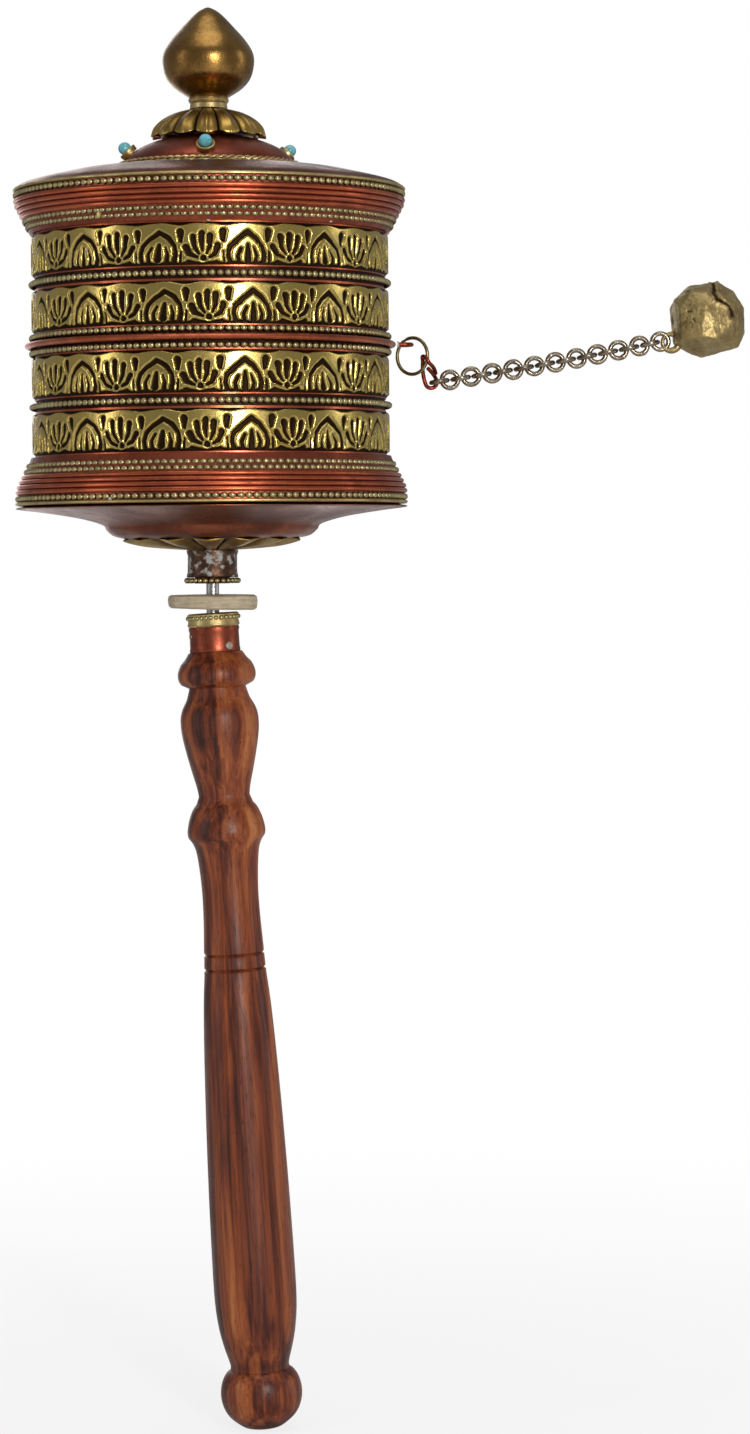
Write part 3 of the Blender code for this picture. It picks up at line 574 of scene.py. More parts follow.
# %% Finial
finial_radius, finial_low, finial_high = node_span("finial")
finial_height = finial_high - finial_low
BULB = [(0.40, 0.10), (0.47, 0.12), (0.60, 0.155), (0.74, 0.20), (0.88, 0.27), (0.96, 0.35), (1.00, 0.46),
        (0.975, 0.545), (0.89, 0.62), (0.76, 0.70), (0.62, 0.77), (0.48, 0.84), (0.345, 0.905), (0.20, 0.96),
        (0.05, 0.995)]
bulb_points = [(r * finial_radius, finial_low + h * finial_height) for r, h in BULB]
bulb = turned("finial_bulb", [(rod_radius, bulb_points[0][1])] + smooth_through(bulb_points, 3), finial_bronze,
              "handle", 96, closed=False, centre=drum_axis)
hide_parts("finial")
neck = 0.43 * finial_radius
neck_outline = [
    (rod_radius, finial_low), (neck * 0.96, finial_low), (neck * 0.93, finial_low + 0.9 * MM),
    (neck, finial_low + 1.2 * MM), (neck * 1.03, finial_low + 1.6 * MM), (neck * 0.98, finial_low + 2.0 * MM),
    (neck * 0.8, finial_low + 2.2 * MM), (rod_radius, finial_low + 2.2 * MM),
]
neck_collar = turned("finial_collar", neck_outline, rim_brass, "handle", 72, centre=drum_axis)
print("finial", round(finial_height / MM, 1), "mm tall")

# %% [markdown]
# The drum is a plain copper tube that has gone nearly black, with everything else soldered round it. Its own
# surface shows only in the gaps between the strips and the beading; the slots of the ornament are a sunk floor of the
# strip itself, darkened as painted shade.

# %% Drum tube and backing strips
ground = turned("drum_tube", [
    (ground_radius - 0.55 * MM, shell_low.z), (ground_radius, shell_low.z), (ground_radius, shell_high.z),
    (ground_radius - 0.55 * MM, shell_high.z),
], ground_copper, "drum", 144, centre=drum_axis)
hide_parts("drum_shell")
bands = {}
for number in range(1, 5):
    radius, low, high = node_span(f"band_{number}")
    bands[number] = (radius, low, high)
    back = radius - 0.62 * MM
    strip = turned(f"backing_strip_{number}", [
        (ground_radius, low - 0.25 * MM), (back, low - 0.25 * MM), (back, high + 0.4 * MM),
        (ground_radius, high + 0.4 * MM),
    ], ridge_copper, "drum", 144, centre=drum_axis, relief=[1.0, 1.0, 1.0, 1.0])
band_radius, band_low, band_high = bands[1]
band_height = band_high - band_low
print("bands", round(band_height / MM, 1), "mm tall at radius", round(band_radius / MM, 2))

# %% [markdown]
# Each ornament strip is cut from sheet brass: an even strip along the top, and under it a row of lotus petals
# and palmettes in turn. Both mirror themselves, so the pattern is described by half a cell. Every slot is a
# straight cut that may widen along its way, and a curve is a few cuts in a row. The nearest cut gives a
# distance, and the strip's height is a soft step of it. Booleans can do the same, but a height field keeps the
# soft, cast edge that such strips have.

# %% Ornament strips
CELLS = 26
CELL_WIDTH = TAU * band_radius / CELLS / MM
ROUND_STEPS = CELLS * 46
STRIP_STEPS = 46
THIN = 0.30
WIDE = 0.62


def cut(point, start, end, first=0.0, last=0.0):
    """Distance in millimetres from a point to the edge of a straight cut, whose half width may change."""
    along = (end[0] - start[0], end[1] - start[1])
    length = along[0] ** 2 + along[1] ** 2
    share = ((point[0] - start[0]) * along[0] + (point[1] - start[1]) * along[1]) / length
    share = min(max(share, 0.0), 1.0)
    away = math.hypot(point[0] - start[0] - along[0] * share, point[1] - start[1] - along[1] * share)
    return away - first - (last - first) * share


# Half of each cell: across runs from the middle of the petal outwards, and up from the foot, in millimetres.
EDGE = CELL_WIDTH / 2
HALF_PETAL = [
    ((3.05, 0.0), (3.30, 1.6), 0.45, 0.40), ((3.30, 1.6), (2.95, 3.3), 0.40, 0.36),
    ((2.95, 3.3), (1.75, 4.7), 0.36, 0.36), ((1.75, 4.7), (0.0, 5.9), 0.36, 0.42),
    ((0.0, 0.9), (0.0, 3.6), WIDE, THIN), ((1.55, 0.2), (1.75, 1.7), 0.42, THIN), ((1.75, 1.7), (1.2, 3.1), THIN, 0.2),
    ((EDGE, 4.3), (EDGE, 5.9), THIN, WIDE),
]
HALF_PALMETTE = [
    ((0.0, 2.6), (0.0, 5.5), THIN, WIDE), ((0.75, 2.0), (1.55, 3.4), 0.25, 0.34), ((1.55, 3.4), (1.75, 5.1), 0.34, 0.56),
    ((1.1, 1.35), (2.3, 1.9), 0.25, 0.36), ((2.3, 1.9), (3.05, 3.3), 0.36, 0.52), ((0.0, 1.2), (0.0, 1.21), 0.5, 0.5),
    ((1.1, 0.0), (2.3, 0.35), 0.34, 0.42), ((EDGE, 0.0), (EDGE, 2.2), 0.5, THIN), ((EDGE, 4.3), (EDGE, 5.9), THIN, WIDE),
]


def slot_distance(across, up):
    """Distance from a place on the strip to the nearest slot, in millimetres."""
    cell = math.floor(across / CELL_WIDTH)
    half = abs(across - (cell + 0.5) * CELL_WIDTH)
    return min(cut((half, up), *shape) for shape in (HALF_PALMETTE if cell % 2 else HALF_PETAL))


def strip_height(angle, up):
    """How far a place stands inside the brass, in millimetres. It is below 0 in a slot or past the edges."""
    across = angle * band_radius / MM
    around = Vector((math.cos(angle), math.sin(angle), 0.0)) * band_radius / MM
    sway = noise.noise_vector((around + Vector((0, 0, up))) * 0.22) * 0.55
    spread = 0.12 * noise.noise((around + Vector((0, 0, up))) * 0.5)
    reach = slot_distance(across + sway.x, up + sway.y * 0.6) - spread
    wave = 0.2 + 0.2 * math.cos(TAU * across / CELL_WIDTH) + 0.5 * abs(sway.z)
    reach = min(reach, band_height / MM - up - wave)
    feet = 0.25 + 0.3 * abs(math.sin(TAU * across / CELL_WIDTH))
    return min(reach, up - feet)


def ornament_mesh():
    """One strip round the whole drum, centred on its own middle."""
    bm = bmesh.new()
    layer = bm.verts.layers.float.new("relief")
    depth = 0.52 * MM
    turns = [TAU * step / ROUND_STEPS for step in range(ROUND_STEPS)]
    rows = []
    for row in range(STRIP_STEPS + 1):
        share = row / STRIP_STEPS
        line = []
        for angle in turns:
            edge = min(max(strip_height(angle, band_height / MM * share) / 0.36 + 0.25, 0.0), 1.0)
            rise = math.sin(edge * math.pi / 2)
            radius = band_radius - depth * (1.0 - rise)
            vert = bm.verts.new((radius * math.cos(angle), radius * math.sin(angle), band_height * (share - 0.5)))
            # Painted shade: the relief is the rise, so the sunk floors of the slots take the dark third colour of the
            # brass.
            vert[layer] = rise
            line.append(vert)
        rows.append(line)
    inner = ground_radius + 0.05 * MM
    for height in (band_height / 2, -band_height / 2):
        rows.append([bm.verts.new((inner * math.cos(angle), inner * math.sin(angle), height)) for angle in turns])
    for lower, upper in zip(rows, rows[1:] + rows[:1]):
        for step in range(ROUND_STEPS):
            after = (step + 1) % ROUND_STEPS
            bm.faces.new((lower[step], lower[after], upper[after], upper[step]))
    bmesh.ops.recalc_face_normals(bm, faces=bm.faces)
    mesh = bpy.data.meshes.new("ornament_strip")
    bm.to_mesh(mesh)
    bm.free()
    mesh.materials.append(relief_brass)
    mesh.shade_smooth()
    return mesh


strip_mesh = ornament_mesh()
STRIP_TURNS = (0.0, 1.6, -1.2, 0.7)
for number, (radius, low, high) in bands.items():
    strip = bpy.data.objects.new(f"ornament_strip_{number}", strip_mesh)
    bpy.context.scene.collection.objects.link(strip)
    strip.location = drum_axis + Vector((0, 0, (low + high) / 2))
    strip.rotation_euler.z = math.radians(STRIP_TURNS[number - 1])
    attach(strip, "drum")
    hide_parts(f"band_{number}")
print("ornament strip", len(strip_mesh.polygons), "faces, cells", round(CELL_WIDTH, 2), "mm wide")

# %% [markdown]
# Beaded wire covers every joint between the strips. It was struck between grooved dies, so the beads are a
# little longer than they are tall, and the copper wire round the middle is plain, round and rubbed bright.

# %% Beading and middle wire
BEAD_PITCH = 1.43 * MM


def beading(name, radius, height, tall, body="drum", seed=1, pitch=BEAD_PITCH):
    """A row of long beads whose outermost points lie at the radius, with the strip of wire behind them."""
    draw = random.Random(seed)
    middle_radius = radius - tall / 2
    count = round(TAU * radius / pitch)
    bm = bmesh.new()
    for number in range(count):
        angle = TAU * (number + draw.uniform(-0.05, 0.05)) / count
        size = tall / 2 * draw.uniform(0.94, 1.0)
        around = TAU * middle_radius / count / 2 * draw.uniform(0.95, 1.04)
        shape = Matrix.Rotation(angle, 4, "Z") @ Matrix.Translation((middle_radius, 0, height))
        shape = Matrix.Translation(drum_axis) @ shape @ Matrix.Diagonal((size, around, size, 1.0))
        bmesh.ops.create_icosphere(bm, subdivisions=2, radius=1.0, matrix=shape)
    # Painted shade: the relief darkens each bead on its side towards the drum and at its top and bottom.
    layer = bm.verts.layers.float.new("relief")
    for vert in bm.verts:
        reach = math.hypot(vert.co.x - drum_axis.x, vert.co.y - drum_axis.y) - middle_radius
        vert[layer] = min(max(0.45 + 0.9 * reach / tall - 0.5 * abs(vert.co.z - height) / tall, 0.0), 1.0)
    core = []
    for corner in range(6):
        turn = TAU * corner / 6
        core.append((middle_radius - 0.1 * tall + 0.3 * tall * math.cos(turn), height + 0.3 * tall * math.sin(turn)))
    rows = [[drum_axis + Vector((r * math.cos(TAU * s / 120), r * math.sin(TAU * s / 120), h)) for s in range(120)]
            for r, h in core]
    surface_of_rows(bm, rows, True)
    made = add_object(name, bm, bead_brass, body)
    return made


for number in range(1, 5):
    radius, low, high = node_span(f"bead_wire_{number}")
    row = beading(f"beaded_wire_{number}", radius, (low + high) / 2, 1.12 * (high - low), seed=10 + number)
    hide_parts(f"bead_wire_{number}")

mid_radius, mid_low, mid_high = node_span("mid_wire")


def round_wire(name, radius, height, thick, finish, body="drum", stand=1.0):
    """A plain wire ring whose outermost point lies at the radius. Stand stretches it towards the axis."""
    outline = []
    for corner in range(12):
        turn = TAU * corner / 12
        reach = thick / 2 * stand
        outline.append((radius - reach + reach * math.cos(turn), height + thick / 2 * math.sin(turn)))
    # Painted shade: the relief darkens the wire's side towards the drum, and partly its top and bottom.
    return turned(name, outline, finish, body, 144, centre=drum_axis, wobble=0.0015,
                  relief=[0.5 + 0.5 * math.cos(TAU * corner / 12) for corner in range(12)])


middle_wire = round_wire("middle_wire", mid_radius, (mid_low + mid_high) / 2, mid_high - mid_low, ridge_copper,
                         stand=1.55)
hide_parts("mid_wire")
print("middle wire at", round((mid_low + mid_high) / 2 / MM, 1), "mm")

# %% [markdown]
# Above and below, the wall flares out to the rims: a plain copper sheet, two beaded wires, a coil of copper
# wires lying one on the next, and at the rim a last beaded wire under a folded brass edge.


# %% Flares and rims
def flare(end, side):
    """Side is 1 for the upper flare and -1 for the lower. Heights are measured from the rim's edge inwards."""
    rim_radius, low, high = node_span(f"{end}_flare")
    edge = high if side > 0 else low
    foot = low if side > 0 else high
    seat = ground_radius + 0.3 * MM
    length = abs(foot - edge)

    def at(drop):
        return edge - side * drop

    def lean_radius(drop):
        share = min(max((drop - 2.9 * MM) / (length - 2.9 * MM), 0.0), 1.0)
        return rim_radius - 0.1 * MM - (rim_radius - seat - 1.1 * MM) * share

    sheet = [
        (seat, at(length)), (lean_radius(length) - 0.2 * MM, at(length)), (lean_radius(6.0 * MM) - 0.35 * MM, at(6.0 * MM)),
        (lean_radius(3.0 * MM) - 0.6 * MM, at(3.0 * MM)), (rim_radius - 0.75 * MM, at(2.4 * MM)),
        (rim_radius - 0.75 * MM, at(0.1 * MM)), (rim_radius - 1.2 * MM, at(0.1 * MM)), (rim_radius - 1.2 * MM, at(2.6 * MM)),
        (seat, at(length - 1.2 * MM)),
    ]
    body = turned(f"{end}_flare_sheet", sheet, plain_copper, "drum", 144, centre=drum_axis, wobble=0.002)
    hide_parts(f"{end}_flare")
    lip = [
        (rim_radius - 1.1 * MM, at(0.0)), (rim_radius - 0.25 * MM, at(0.0)), (rim_radius - 0.02 * MM, at(0.22 * MM)),
        (rim_radius - 0.02 * MM, at(0.42 * MM)), (rim_radius - 0.25 * MM, at(0.6 * MM)), (rim_radius - 1.1 * MM, at(0.6 * MM)),
    ]
    edging = turned(f"{end}_rim_edge", lip, rim_brass, "drum", 180, centre=drum_axis, wobble=0.0025)
    beading(f"{end}_rim_beading", rim_radius - 0.02 * MM, at(1.25 * MM), 1.2 * MM, seed=20 + side, pitch=1.5 * MM)
    coil_pitch = 0.93 * MM
    for turn_number in range(4):
        drop = 2.40 * MM + turn_number * coil_pitch
        coil = round_wire(f"{end}_coil_{turn_number + 1}", lean_radius(drop) + 0.02 * MM, at(drop), coil_pitch * 1.04,
                          ridge_copper, stand=1.2)
    for row_number in range(2):
        drop = 6.22 * MM + row_number * 1.10 * MM
        beading(f"{end}_double_beading_{row_number + 1}", lean_radius(drop) + 0.05 * MM, at(drop), 1.10 * MM,
                seed=30 + row_number + 3 * side)


flare("top", 1)
flare("bottom", -1)
print("rims", round(2 * node_span("top_flare")[0] / MM, 1), "mm across")

# %% [markdown]
# The covers are beaten from sheet and soldered into the rims. Hammering leaves shallow dents, so their outline
# sways a little round the axis, and bits of pierced edging lie under the crown.

# %% Covers
cover_radius, cover_low, cover_high = node_span("top_cover")
cover_low -= SOLDERED
hub = 3.8 * MM
upper_slope = [(cover_radius, cover_low), (cover_radius - 1.6 * MM, cover_low + 0.85 * MM),
               (cover_radius - 6.2 * MM, cover_low + 2.0 * MM), (cover_radius - 12.0 * MM, cover_low + 3.2 * MM),
               (17.0 * MM, cover_high), (hub, cover_high)]
slope = smooth_through(upper_slope[:5], 5) + [upper_slope[5]]
lining = [(radius - 0.3 * MM, height - 0.55 * MM) for radius, height in reversed(slope[8:])]
top_sheet = turned("top_cover_sheet", slope + lining + [(cover_radius - 2.0 * MM, cover_low)], cover_copper, "drum",
                   144, centre=drum_axis, wobble=0.004)
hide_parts("top_cover")
base_radius, base_low, base_high = node_span("bottom_cover")
base_high += SOLDERED
lower_cone = [(base_radius, base_high - 0.35 * MM), (base_radius - 0.1 * MM, base_high - 0.66 * MM),
              (0.88 * base_radius, base_high - 1.2 * MM), (0.69 * base_radius, base_high - 2.3 * MM),
              (20.6 * MM, base_low + 2.8 * MM), (19.7 * MM, base_low + 1.7 * MM), (18.3 * MM, base_low + 0.6 * MM),
              (15.7 * MM, base_low)]
lower_slope = smooth_through(lower_cone, 4) + [(hub, base_low)]
lower_lining = [(radius - 0.25 * MM, height + 0.55 * MM) for radius, height in reversed(lower_slope[6:])]
base_sheet = turned("bottom_cover_sheet", lower_slope + lower_lining + [(base_radius - 2.0 * MM, base_high)],
                    cover_copper, "drum", 144, centre=drum_axis, wobble=0.003)
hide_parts("bottom_cover")
print("covers", round((cover_high - cover_low) / MM, 1), "and", round((base_high - base_low) / MM, 1), "mm deep")

# %% [markdown]
# Two wires twisted together make the rope that hides the foot of the crown. Each strand is a small circle that
# travels round the rope's own middle while the rope travels round the drum.


# %% Twisted rope
def rope(name, radius, height, thick, turns, finish, strands=2, steps=480):
    """Strands of wire twisted round one another into a ring. Thick is the rope's whole thickness."""
    bm = bmesh.new()
    strand_radius = thick * (0.27 if strands == 2 else 0.25)
    swing = thick / 2 - strand_radius
    for strand in range(strands):
        rows = []
        for step in range(steps):
            angle = TAU * step / steps
            twist = TAU * (strand / strands + turns * step / steps)
            row = []
            for corner in range(8):
                turn = TAU * corner / 8
                out = radius + swing * math.cos(twist) + strand_radius * math.cos(turn)
                up = height + swing * math.sin(twist) + strand_radius * math.sin(turn)
                row.append(drum_axis + Vector((out * math.cos(angle), out * math.sin(angle), up)))
            rows.append(row)
        surface_of_rows(bm, rows, True)
    made = add_object(name, bm, finish, "drum", 80.0)
    return made


wire_radius, wire_low, wire_high = node_span("crown_wire")
rope_thick = wire_high - wire_low
crown_rope = rope("crown_rope", wire_radius - rope_thick / 2, (wire_low + wire_high) / 2, rope_thick, 36, rim_brass)
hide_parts("crown_wire")

# %% [markdown]
# The crown is a low copper dome. Four round cups are soldered on it, and each holds a ball of turquoise.

# %% Crown, cups and stones
dome_radius = wire_radius - rope_thick - 0.3 * MM
dome_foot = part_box("crown_dome")[0].z
dome_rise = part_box("crown_dome")[1].z - dome_foot
DOME = [(1.0, 0.0), (1.0, 0.10), (0.985, 0.22), (0.94, 0.36), (0.86, 0.52), (0.75, 0.67), (0.62, 0.80), (0.50, 0.89),
        (0.40, 0.95)]
dome_points = smooth_through([(dome_radius * out, dome_foot + dome_rise * up) for out, up in DOME], 3)
dome_lining = [(radius - 0.6 * MM, height - 0.4 * MM) for radius, height in reversed(dome_points[3:])]
crown = turned("crown_sheet", dome_points + [(hub, dome_foot + dome_rise)] + [(hub, dome_foot + dome_rise - 0.6 * MM)]
               + dome_lining + [(dome_radius - 0.6 * MM, dome_foot)], plain_copper, "drum", 128, centre=drum_axis,
               wobble=0.006)
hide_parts("crown_dome")


def in_axes(profile, place, facing, sides):
    """Rows of points for a small turned shape that stands on a place and faces outwards."""
    turn = facing.to_track_quat("Z", "X").to_matrix()
    return [[place + turn @ Vector((r * math.cos(TAU * s / sides), r * math.sin(TAU * s / sides), h))
             for s in range(sides)] for r, h in profile]


CUP_RADIUS = 1.75 * MM
for number in range(1, 5):
    low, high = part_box(f"turquoise_{number}")
    middle = (low + high) / 2
    stone_radius = (high.z - low.z) / 2
    around = Vector((middle.x - drum_axis.x, middle.y - drum_axis.y, 0.0)).normalized()
    facing = (around * 0.70 + Vector((0, 0, 0.71))).normalized()
    seat = middle - facing * (stone_radius + 0.1 * MM)
    bm = bmesh.new()
    cup = [(0.5 * MM, -0.3 * MM), (CUP_RADIUS * 0.92, -0.3 * MM), (CUP_RADIUS * 0.96, 0.1 * MM),
           (CUP_RADIUS, 0.45 * MM), (CUP_RADIUS * 0.97, 0.72 * MM), (CUP_RADIUS * 0.86, 0.78 * MM),
           (CUP_RADIUS * 0.74, 0.6 * MM), (CUP_RADIUS * 0.5, 0.42 * MM), (0.5 * MM, 0.38 * MM)]
    surface_of_rows(bm, in_axes(cup, seat, facing, 40), True)
    bezel = add_object(f"stone_cup_{number}", bm, rim_brass, "drum")
    bm = bmesh.new()
    draw = random.Random(number)
    squash = Matrix.Diagonal((1.0, draw.uniform(0.96, 1.0), draw.uniform(0.95, 1.0), 1.0))
    bmesh.ops.create_icosphere(bm, subdivisions=4, radius=stone_radius, matrix=Matrix.Translation(middle) @ squash)
    for vert in bm.verts:
        away = vert.co - middle
        vert.co = middle + away * (1.0 + 0.02 * noise.noise(vert.co * 900))
    stone = add_object(f"turquoise_ball_{number}", bm, stone_finish, "drum")
    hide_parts(f"turquoise_{number}")
print("crown", round(2 * dome_radius / MM, 1), "mm across, with 4 stones")

# %% [markdown]
# A cap of lotus petals closes the crown, and a flat lotus faces down under the drum. Each petal is a raised
# tongue with a rib down its middle and a gap beside it, and the gap is darkened as painted shade. The fluting is one
# formula of the turn, and the hem follows the petal tips in scallops.


# %% Lotus caps
def petal(turn, count):
    """How far a place is from the middle of its petal, from 0 at the rib to 1 in the gap."""
    return abs((turn * count / TAU) % 1.0 - 0.5) * 2.0


def lotus(name, outline, count, finish, swell, hem, plump=2.6, dip=0.0, sides=392):
    """A fluted cap. The outline runs from the hem at the outside in towards the axis."""
    bm = bmesh.new()
    rows, relief = [], []
    last = len(outline) - 1
    for index, (radius, height) in enumerate(outline):
        share = index / last
        row, heights = [], []
        for step in range(sides):
            turn = TAU * step / sides
            off = petal(turn, count)
            inner_petal = petal(turn + math.pi / count, count)
            lobe = math.sqrt(max(1.0 - off ** plump, 0.0))
            rib = math.exp(-((off / 0.16) ** 2)) * 0.22
            fade = math.sin(math.pi * min(max(share * 1.05, 0.0), 1.0)) ** 0.5 if 0 < share < 1 else 0.0
            back = (1.0 - lobe) * swell
            scallop = hem * (1.0 - off ** 1.6) * max(1.0 - share * 3.0, 0.0)
            out = radius - back * (0.35 + 0.65 * fade) + rib * swell * fade - (0.3 * swell if index == 0 else 0.0)
            lift = height - scallop + hem * max(1.0 - share * 3.0, 0.0) + dip * (1.0 - lobe) * fade
            row.append(drum_axis + Vector((out * math.cos(turn), out * math.sin(turn), lift)))
            # Painted shade: the relief is low in the gaps between petals, and lower still at the middle of each gap on
            # the inner rows.
            shade = lobe * 0.9 + rib - 0.25 * math.exp(-((inner_petal / 0.1) ** 2)) * (share > 0.45)
            heights.append(min(max(shade, 0.0), 1.0))
        rows.append(row)
        relief.append(heights)
    surface_of_rows(bm, rows, False, relief)
    made = add_object(name, bm, finish, "drum", 60.0)
    return made


cap_radius, cap_low, cap_high = node_span("top_lotus")
cap_rise = cap_high - cap_low
CAP = [(0.93, 0.02), (1.0, 0.0), (0.985, 0.16), (0.95, 0.32), (0.885, 0.48), (0.80, 0.63), (0.70, 0.76), (0.58, 0.88),
       (0.47, 0.96), (0.40, 1.0)]
cap_points = smooth_through([(cap_radius * out, cap_low + cap_rise * up) for out, up in CAP], 3)
cap = lotus("lotus_cap", cap_points, 14, lotus_brass, 1.6 * MM, 0.9 * MM)
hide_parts("top_lotus")
under_radius, under_low, under_high = node_span("bottom_lotus")
under_high += SOLDERED
under_drop = under_high - under_low
UNDER = [(1.0, 0.0), (1.0, 0.16), (0.93, 0.36), (0.83, 0.56), (0.72, 0.72), (0.60, 0.82), (0.46, 0.92), (0.32, 1.0)]
under_points = smooth_through([(under_radius * out, under_high - under_drop * down) for out, down in UNDER], 3)
base_points = under_points + [(hub, under_low)]
under = lotus("lotus_base", base_points, 14, lotus_brass, 1.6 * MM, 0.0, 1.8, 1.5 * MM)
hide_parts("bottom_lotus")
print("lotus cap", round(2 * cap_radius / MM, 1), "mm, lotus base", round(2 * under_radius / MM, 1), "mm across")

# %% [markdown]
# The ferrule under the drum is a short tarnished tube that ends in a beaded ring. Here the drum turns on the
# bone washer, so its lower edge is the most handled place on the whole wheel.

# %% Lower ferrule
tube_radius, tube_low, tube_high = node_span("axle_ferrule")
tube_low -= SOLDERED
tube_high += SOLDERED
tube = turned("lower_ferrule", [
    (hub, tube_low), (tube_radius - 0.15 * MM, tube_low), (tube_radius, tube_low + 0.2 * MM),
    (tube_radius - 0.2 * MM, tube_low + 1.0 * MM), (tube_radius - 0.25 * MM, tube_high - 1.1 * MM),
    (tube_radius, tube_high - 0.3 * MM), (tube_radius - 0.1 * MM, tube_high), (hub, tube_high),
], tarnished, "drum", 96, centre=drum_axis, wobble=0.02)
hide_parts("axle_ferrule")
knurl_radius, knurl_low, knurl_high = node_span("ferrule_bead_ring")
knurl_middle = (knurl_low + knurl_high) / 2
knurl = beading("lower_ferrule_beading", knurl_radius, knurl_middle, knurl_high - knurl_low, seed=41, pitch=1.2 * MM)
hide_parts("ferrule_bead_ring")
print("lower ferrule", round((tube_high - tube_low) / MM, 1), "mm long")

# %% [markdown]
# Hand soldering leaves small bright drops along the joints, and where a strip of beading closes on itself its
# two ends meet under a scrap of brass. These marks are few, and each one sits on a joint.

# %% Solder drops and a joint scrap
SOLDER_DROPS = [("top_flare", -47.0, 0.93, 0.62), ("top_flare", -88.0, 0.97, 0.5), ("top_flare", -20.0, 0.55, 0.55),
                ("bottom_flare", -28.0, 0.75, 0.6), ("bottom_flare", -118.0, 0.1, 0.45), ("top_flare", 60.0, 0.9, 0.6),
                ("bottom_flare", 140.0, 0.4, 0.55)]


def on_flare(node, degrees, share):
    """A point on a flare's outside, from 0 at the rim's edge to 1 at its foot, and the way it faces."""
    rim_radius, low, high = node_span(node)
    side = 1 if node.startswith("top") else -1
    reach = rim_radius - 0.5 * MM - (rim_radius - ground_radius - 1.2 * MM) * share ** 1.3
    around = Vector((math.cos(math.radians(degrees)), math.sin(math.radians(degrees)), 0.0))
    height = high - (high - low) * share if side > 0 else low + (high - low) * share
    return drum_axis + around * reach + Vector((0, 0, height)), around


for number, (node, degrees, share, size) in enumerate(SOLDER_DROPS, 1):
    place, facing = on_flare(node, degrees, share)
    drop = dome(f"solder_drop_{number}", place, facing, size * MM, 0.45 * size * MM, solder_finish, "drum", 14, 5)
place, facing = on_flare("top_flare", -123.0, 0.74)
scrap_bm = bmesh.new()
scrap_turn = facing.to_track_quat("X", "Z").to_matrix().to_4x4()
bmesh.ops.create_cube(scrap_bm, size=1.0, matrix=Matrix.Diagonal((0.9 * MM, 0.8 * MM, 2.6 * MM, 1.0)))
bmesh.ops.bevel(scrap_bm, geom=scrap_bm.edges[:], offset=0.16 * MM, segments=2, affect="EDGES")
bmesh.ops.transform(scrap_bm, verts=scrap_bm.verts, matrix=Matrix.Translation(place) @ scrap_turn)
scrap = add_object("beading_joint", scrap_bm, rim_brass, "drum")
print(len(SOLDER_DROPS), "drops of solder")

# %% [markdown]
# The tube, the bushes and the roll of printed paper sit inside the drum, out of sight. Their solids are already
# the right shape, so they stay and only take a finish.

# %% Hidden pieces
HIDDEN = {"core_tube": plain_copper, "top_bush": rim_brass, "bottom_bush": rim_brass, "mantra_roll": paper_finish}
for name, finish in HIDDEN.items():
    for material_slot in frame["nodes"][name].material_slots:
        material_slot.material = finish
print("hidden pieces", ", ".join(HIDDEN))

# %% [markdown]
# Round wire along any path comes from one helper, which carries a small circle along the points without letting
# it twist. The chain, its fittings and the edging are all made with it.


# %% Wire along a path
def wire_rows(path, radius, sides=10, closed=False, flats=None):
    """Rows of points round a path. Flats thins the ends, one factor for each point."""
    rows = []
    count = len(path)
    side = None
    for index, point in enumerate(path):
        before = path[index - 1] if index or closed else path[0]
        after = path[(index + 1) % count] if index < count - 1 or closed else path[-1]
        along = (after - before).normalized()
        if side is None:
            side = along.orthogonal().normalized()
        side = (side - along * side.dot(along)).normalized()
        other = along.cross(side)
        size = radius * (flats[index] if flats else 1.0)
        rows.append([point + size * (side * math.cos(TAU * s / sides) + other * math.sin(TAU * s / sides))
                     for s in range(sides)])
    return rows


def wire(name, path, radius, finish, body, sides=12, closed=False, flats=None):
    bm = bmesh.new()
    surface_of_rows(bm, wire_rows(path, radius, sides, closed, flats), closed)
    made = add_object(name, bm, finish, body, 80.0)
    return made


def smooth_path(points, steps):
    """A Catmull-Rom curve through points in space."""
    padded = [points[0], *points, points[-1]]
    curve = []
    for index in range(len(points) - 1):
        before, start, end, after = padded[index:index + 4]
        for step in range(steps):
            t = step / steps
            curve.append((2 * start + (end - before) * t + (2 * before - 5 * start + 4 * end - after) * t ** 2
                          + (3 * start - before - 3 * end + after) * t ** 3) / 2)
    curve.append(points[-1])
    return curve


# %% [markdown]
# A strip of pierced edging lies flat on the upper cover, round the crown. It is soft brass wire bent into one
# long row of loops, and a single wavy line that swings past itself in each loop draws it.

# %% Pierced edging
EDGING_LOOPS = 44
EDGING_WIRE = 0.20 * MM
EDGING_REACH = 1.15 * MM
EDGING_SWING = 1.7
LOOP_STEPS = 14


def cover_height(radius):
    """The height of the upper cover's skin at a radius."""
    for (outer, outer_height), (inner, inner_height) in zip(slope, slope[1:]):
        if inner <= radius <= outer:
            return outer_height + (inner_height - outer_height) * (outer - radius) / (outer - inner)
    return slope[-1][1]


edging_middle = wire_radius + EDGING_REACH + 0.5 * MM
edging_path = []
for step in range(EDGING_LOOPS * LOOP_STEPS):
    bend = TAU * step / LOOP_STEPS
    angle = (bend + EDGING_SWING * math.sin(bend)) / EDGING_LOOPS
    reach = edging_middle + EDGING_REACH * math.cos(bend)
    height = cover_height(reach) + 0.6 * EDGING_WIRE
    edging_path.append(drum_axis + Vector((reach * math.cos(angle), reach * math.sin(angle), height)))
wire("pierced_edging", edging_path, EDGING_WIRE, rim_brass, "drum", sides=6, closed=True)
print("edging of", EDGING_LOOPS, "loops")

# %% [markdown]
# The eye is a staple of copper wire soldered to the middle wire, and the split ring hangs in it.

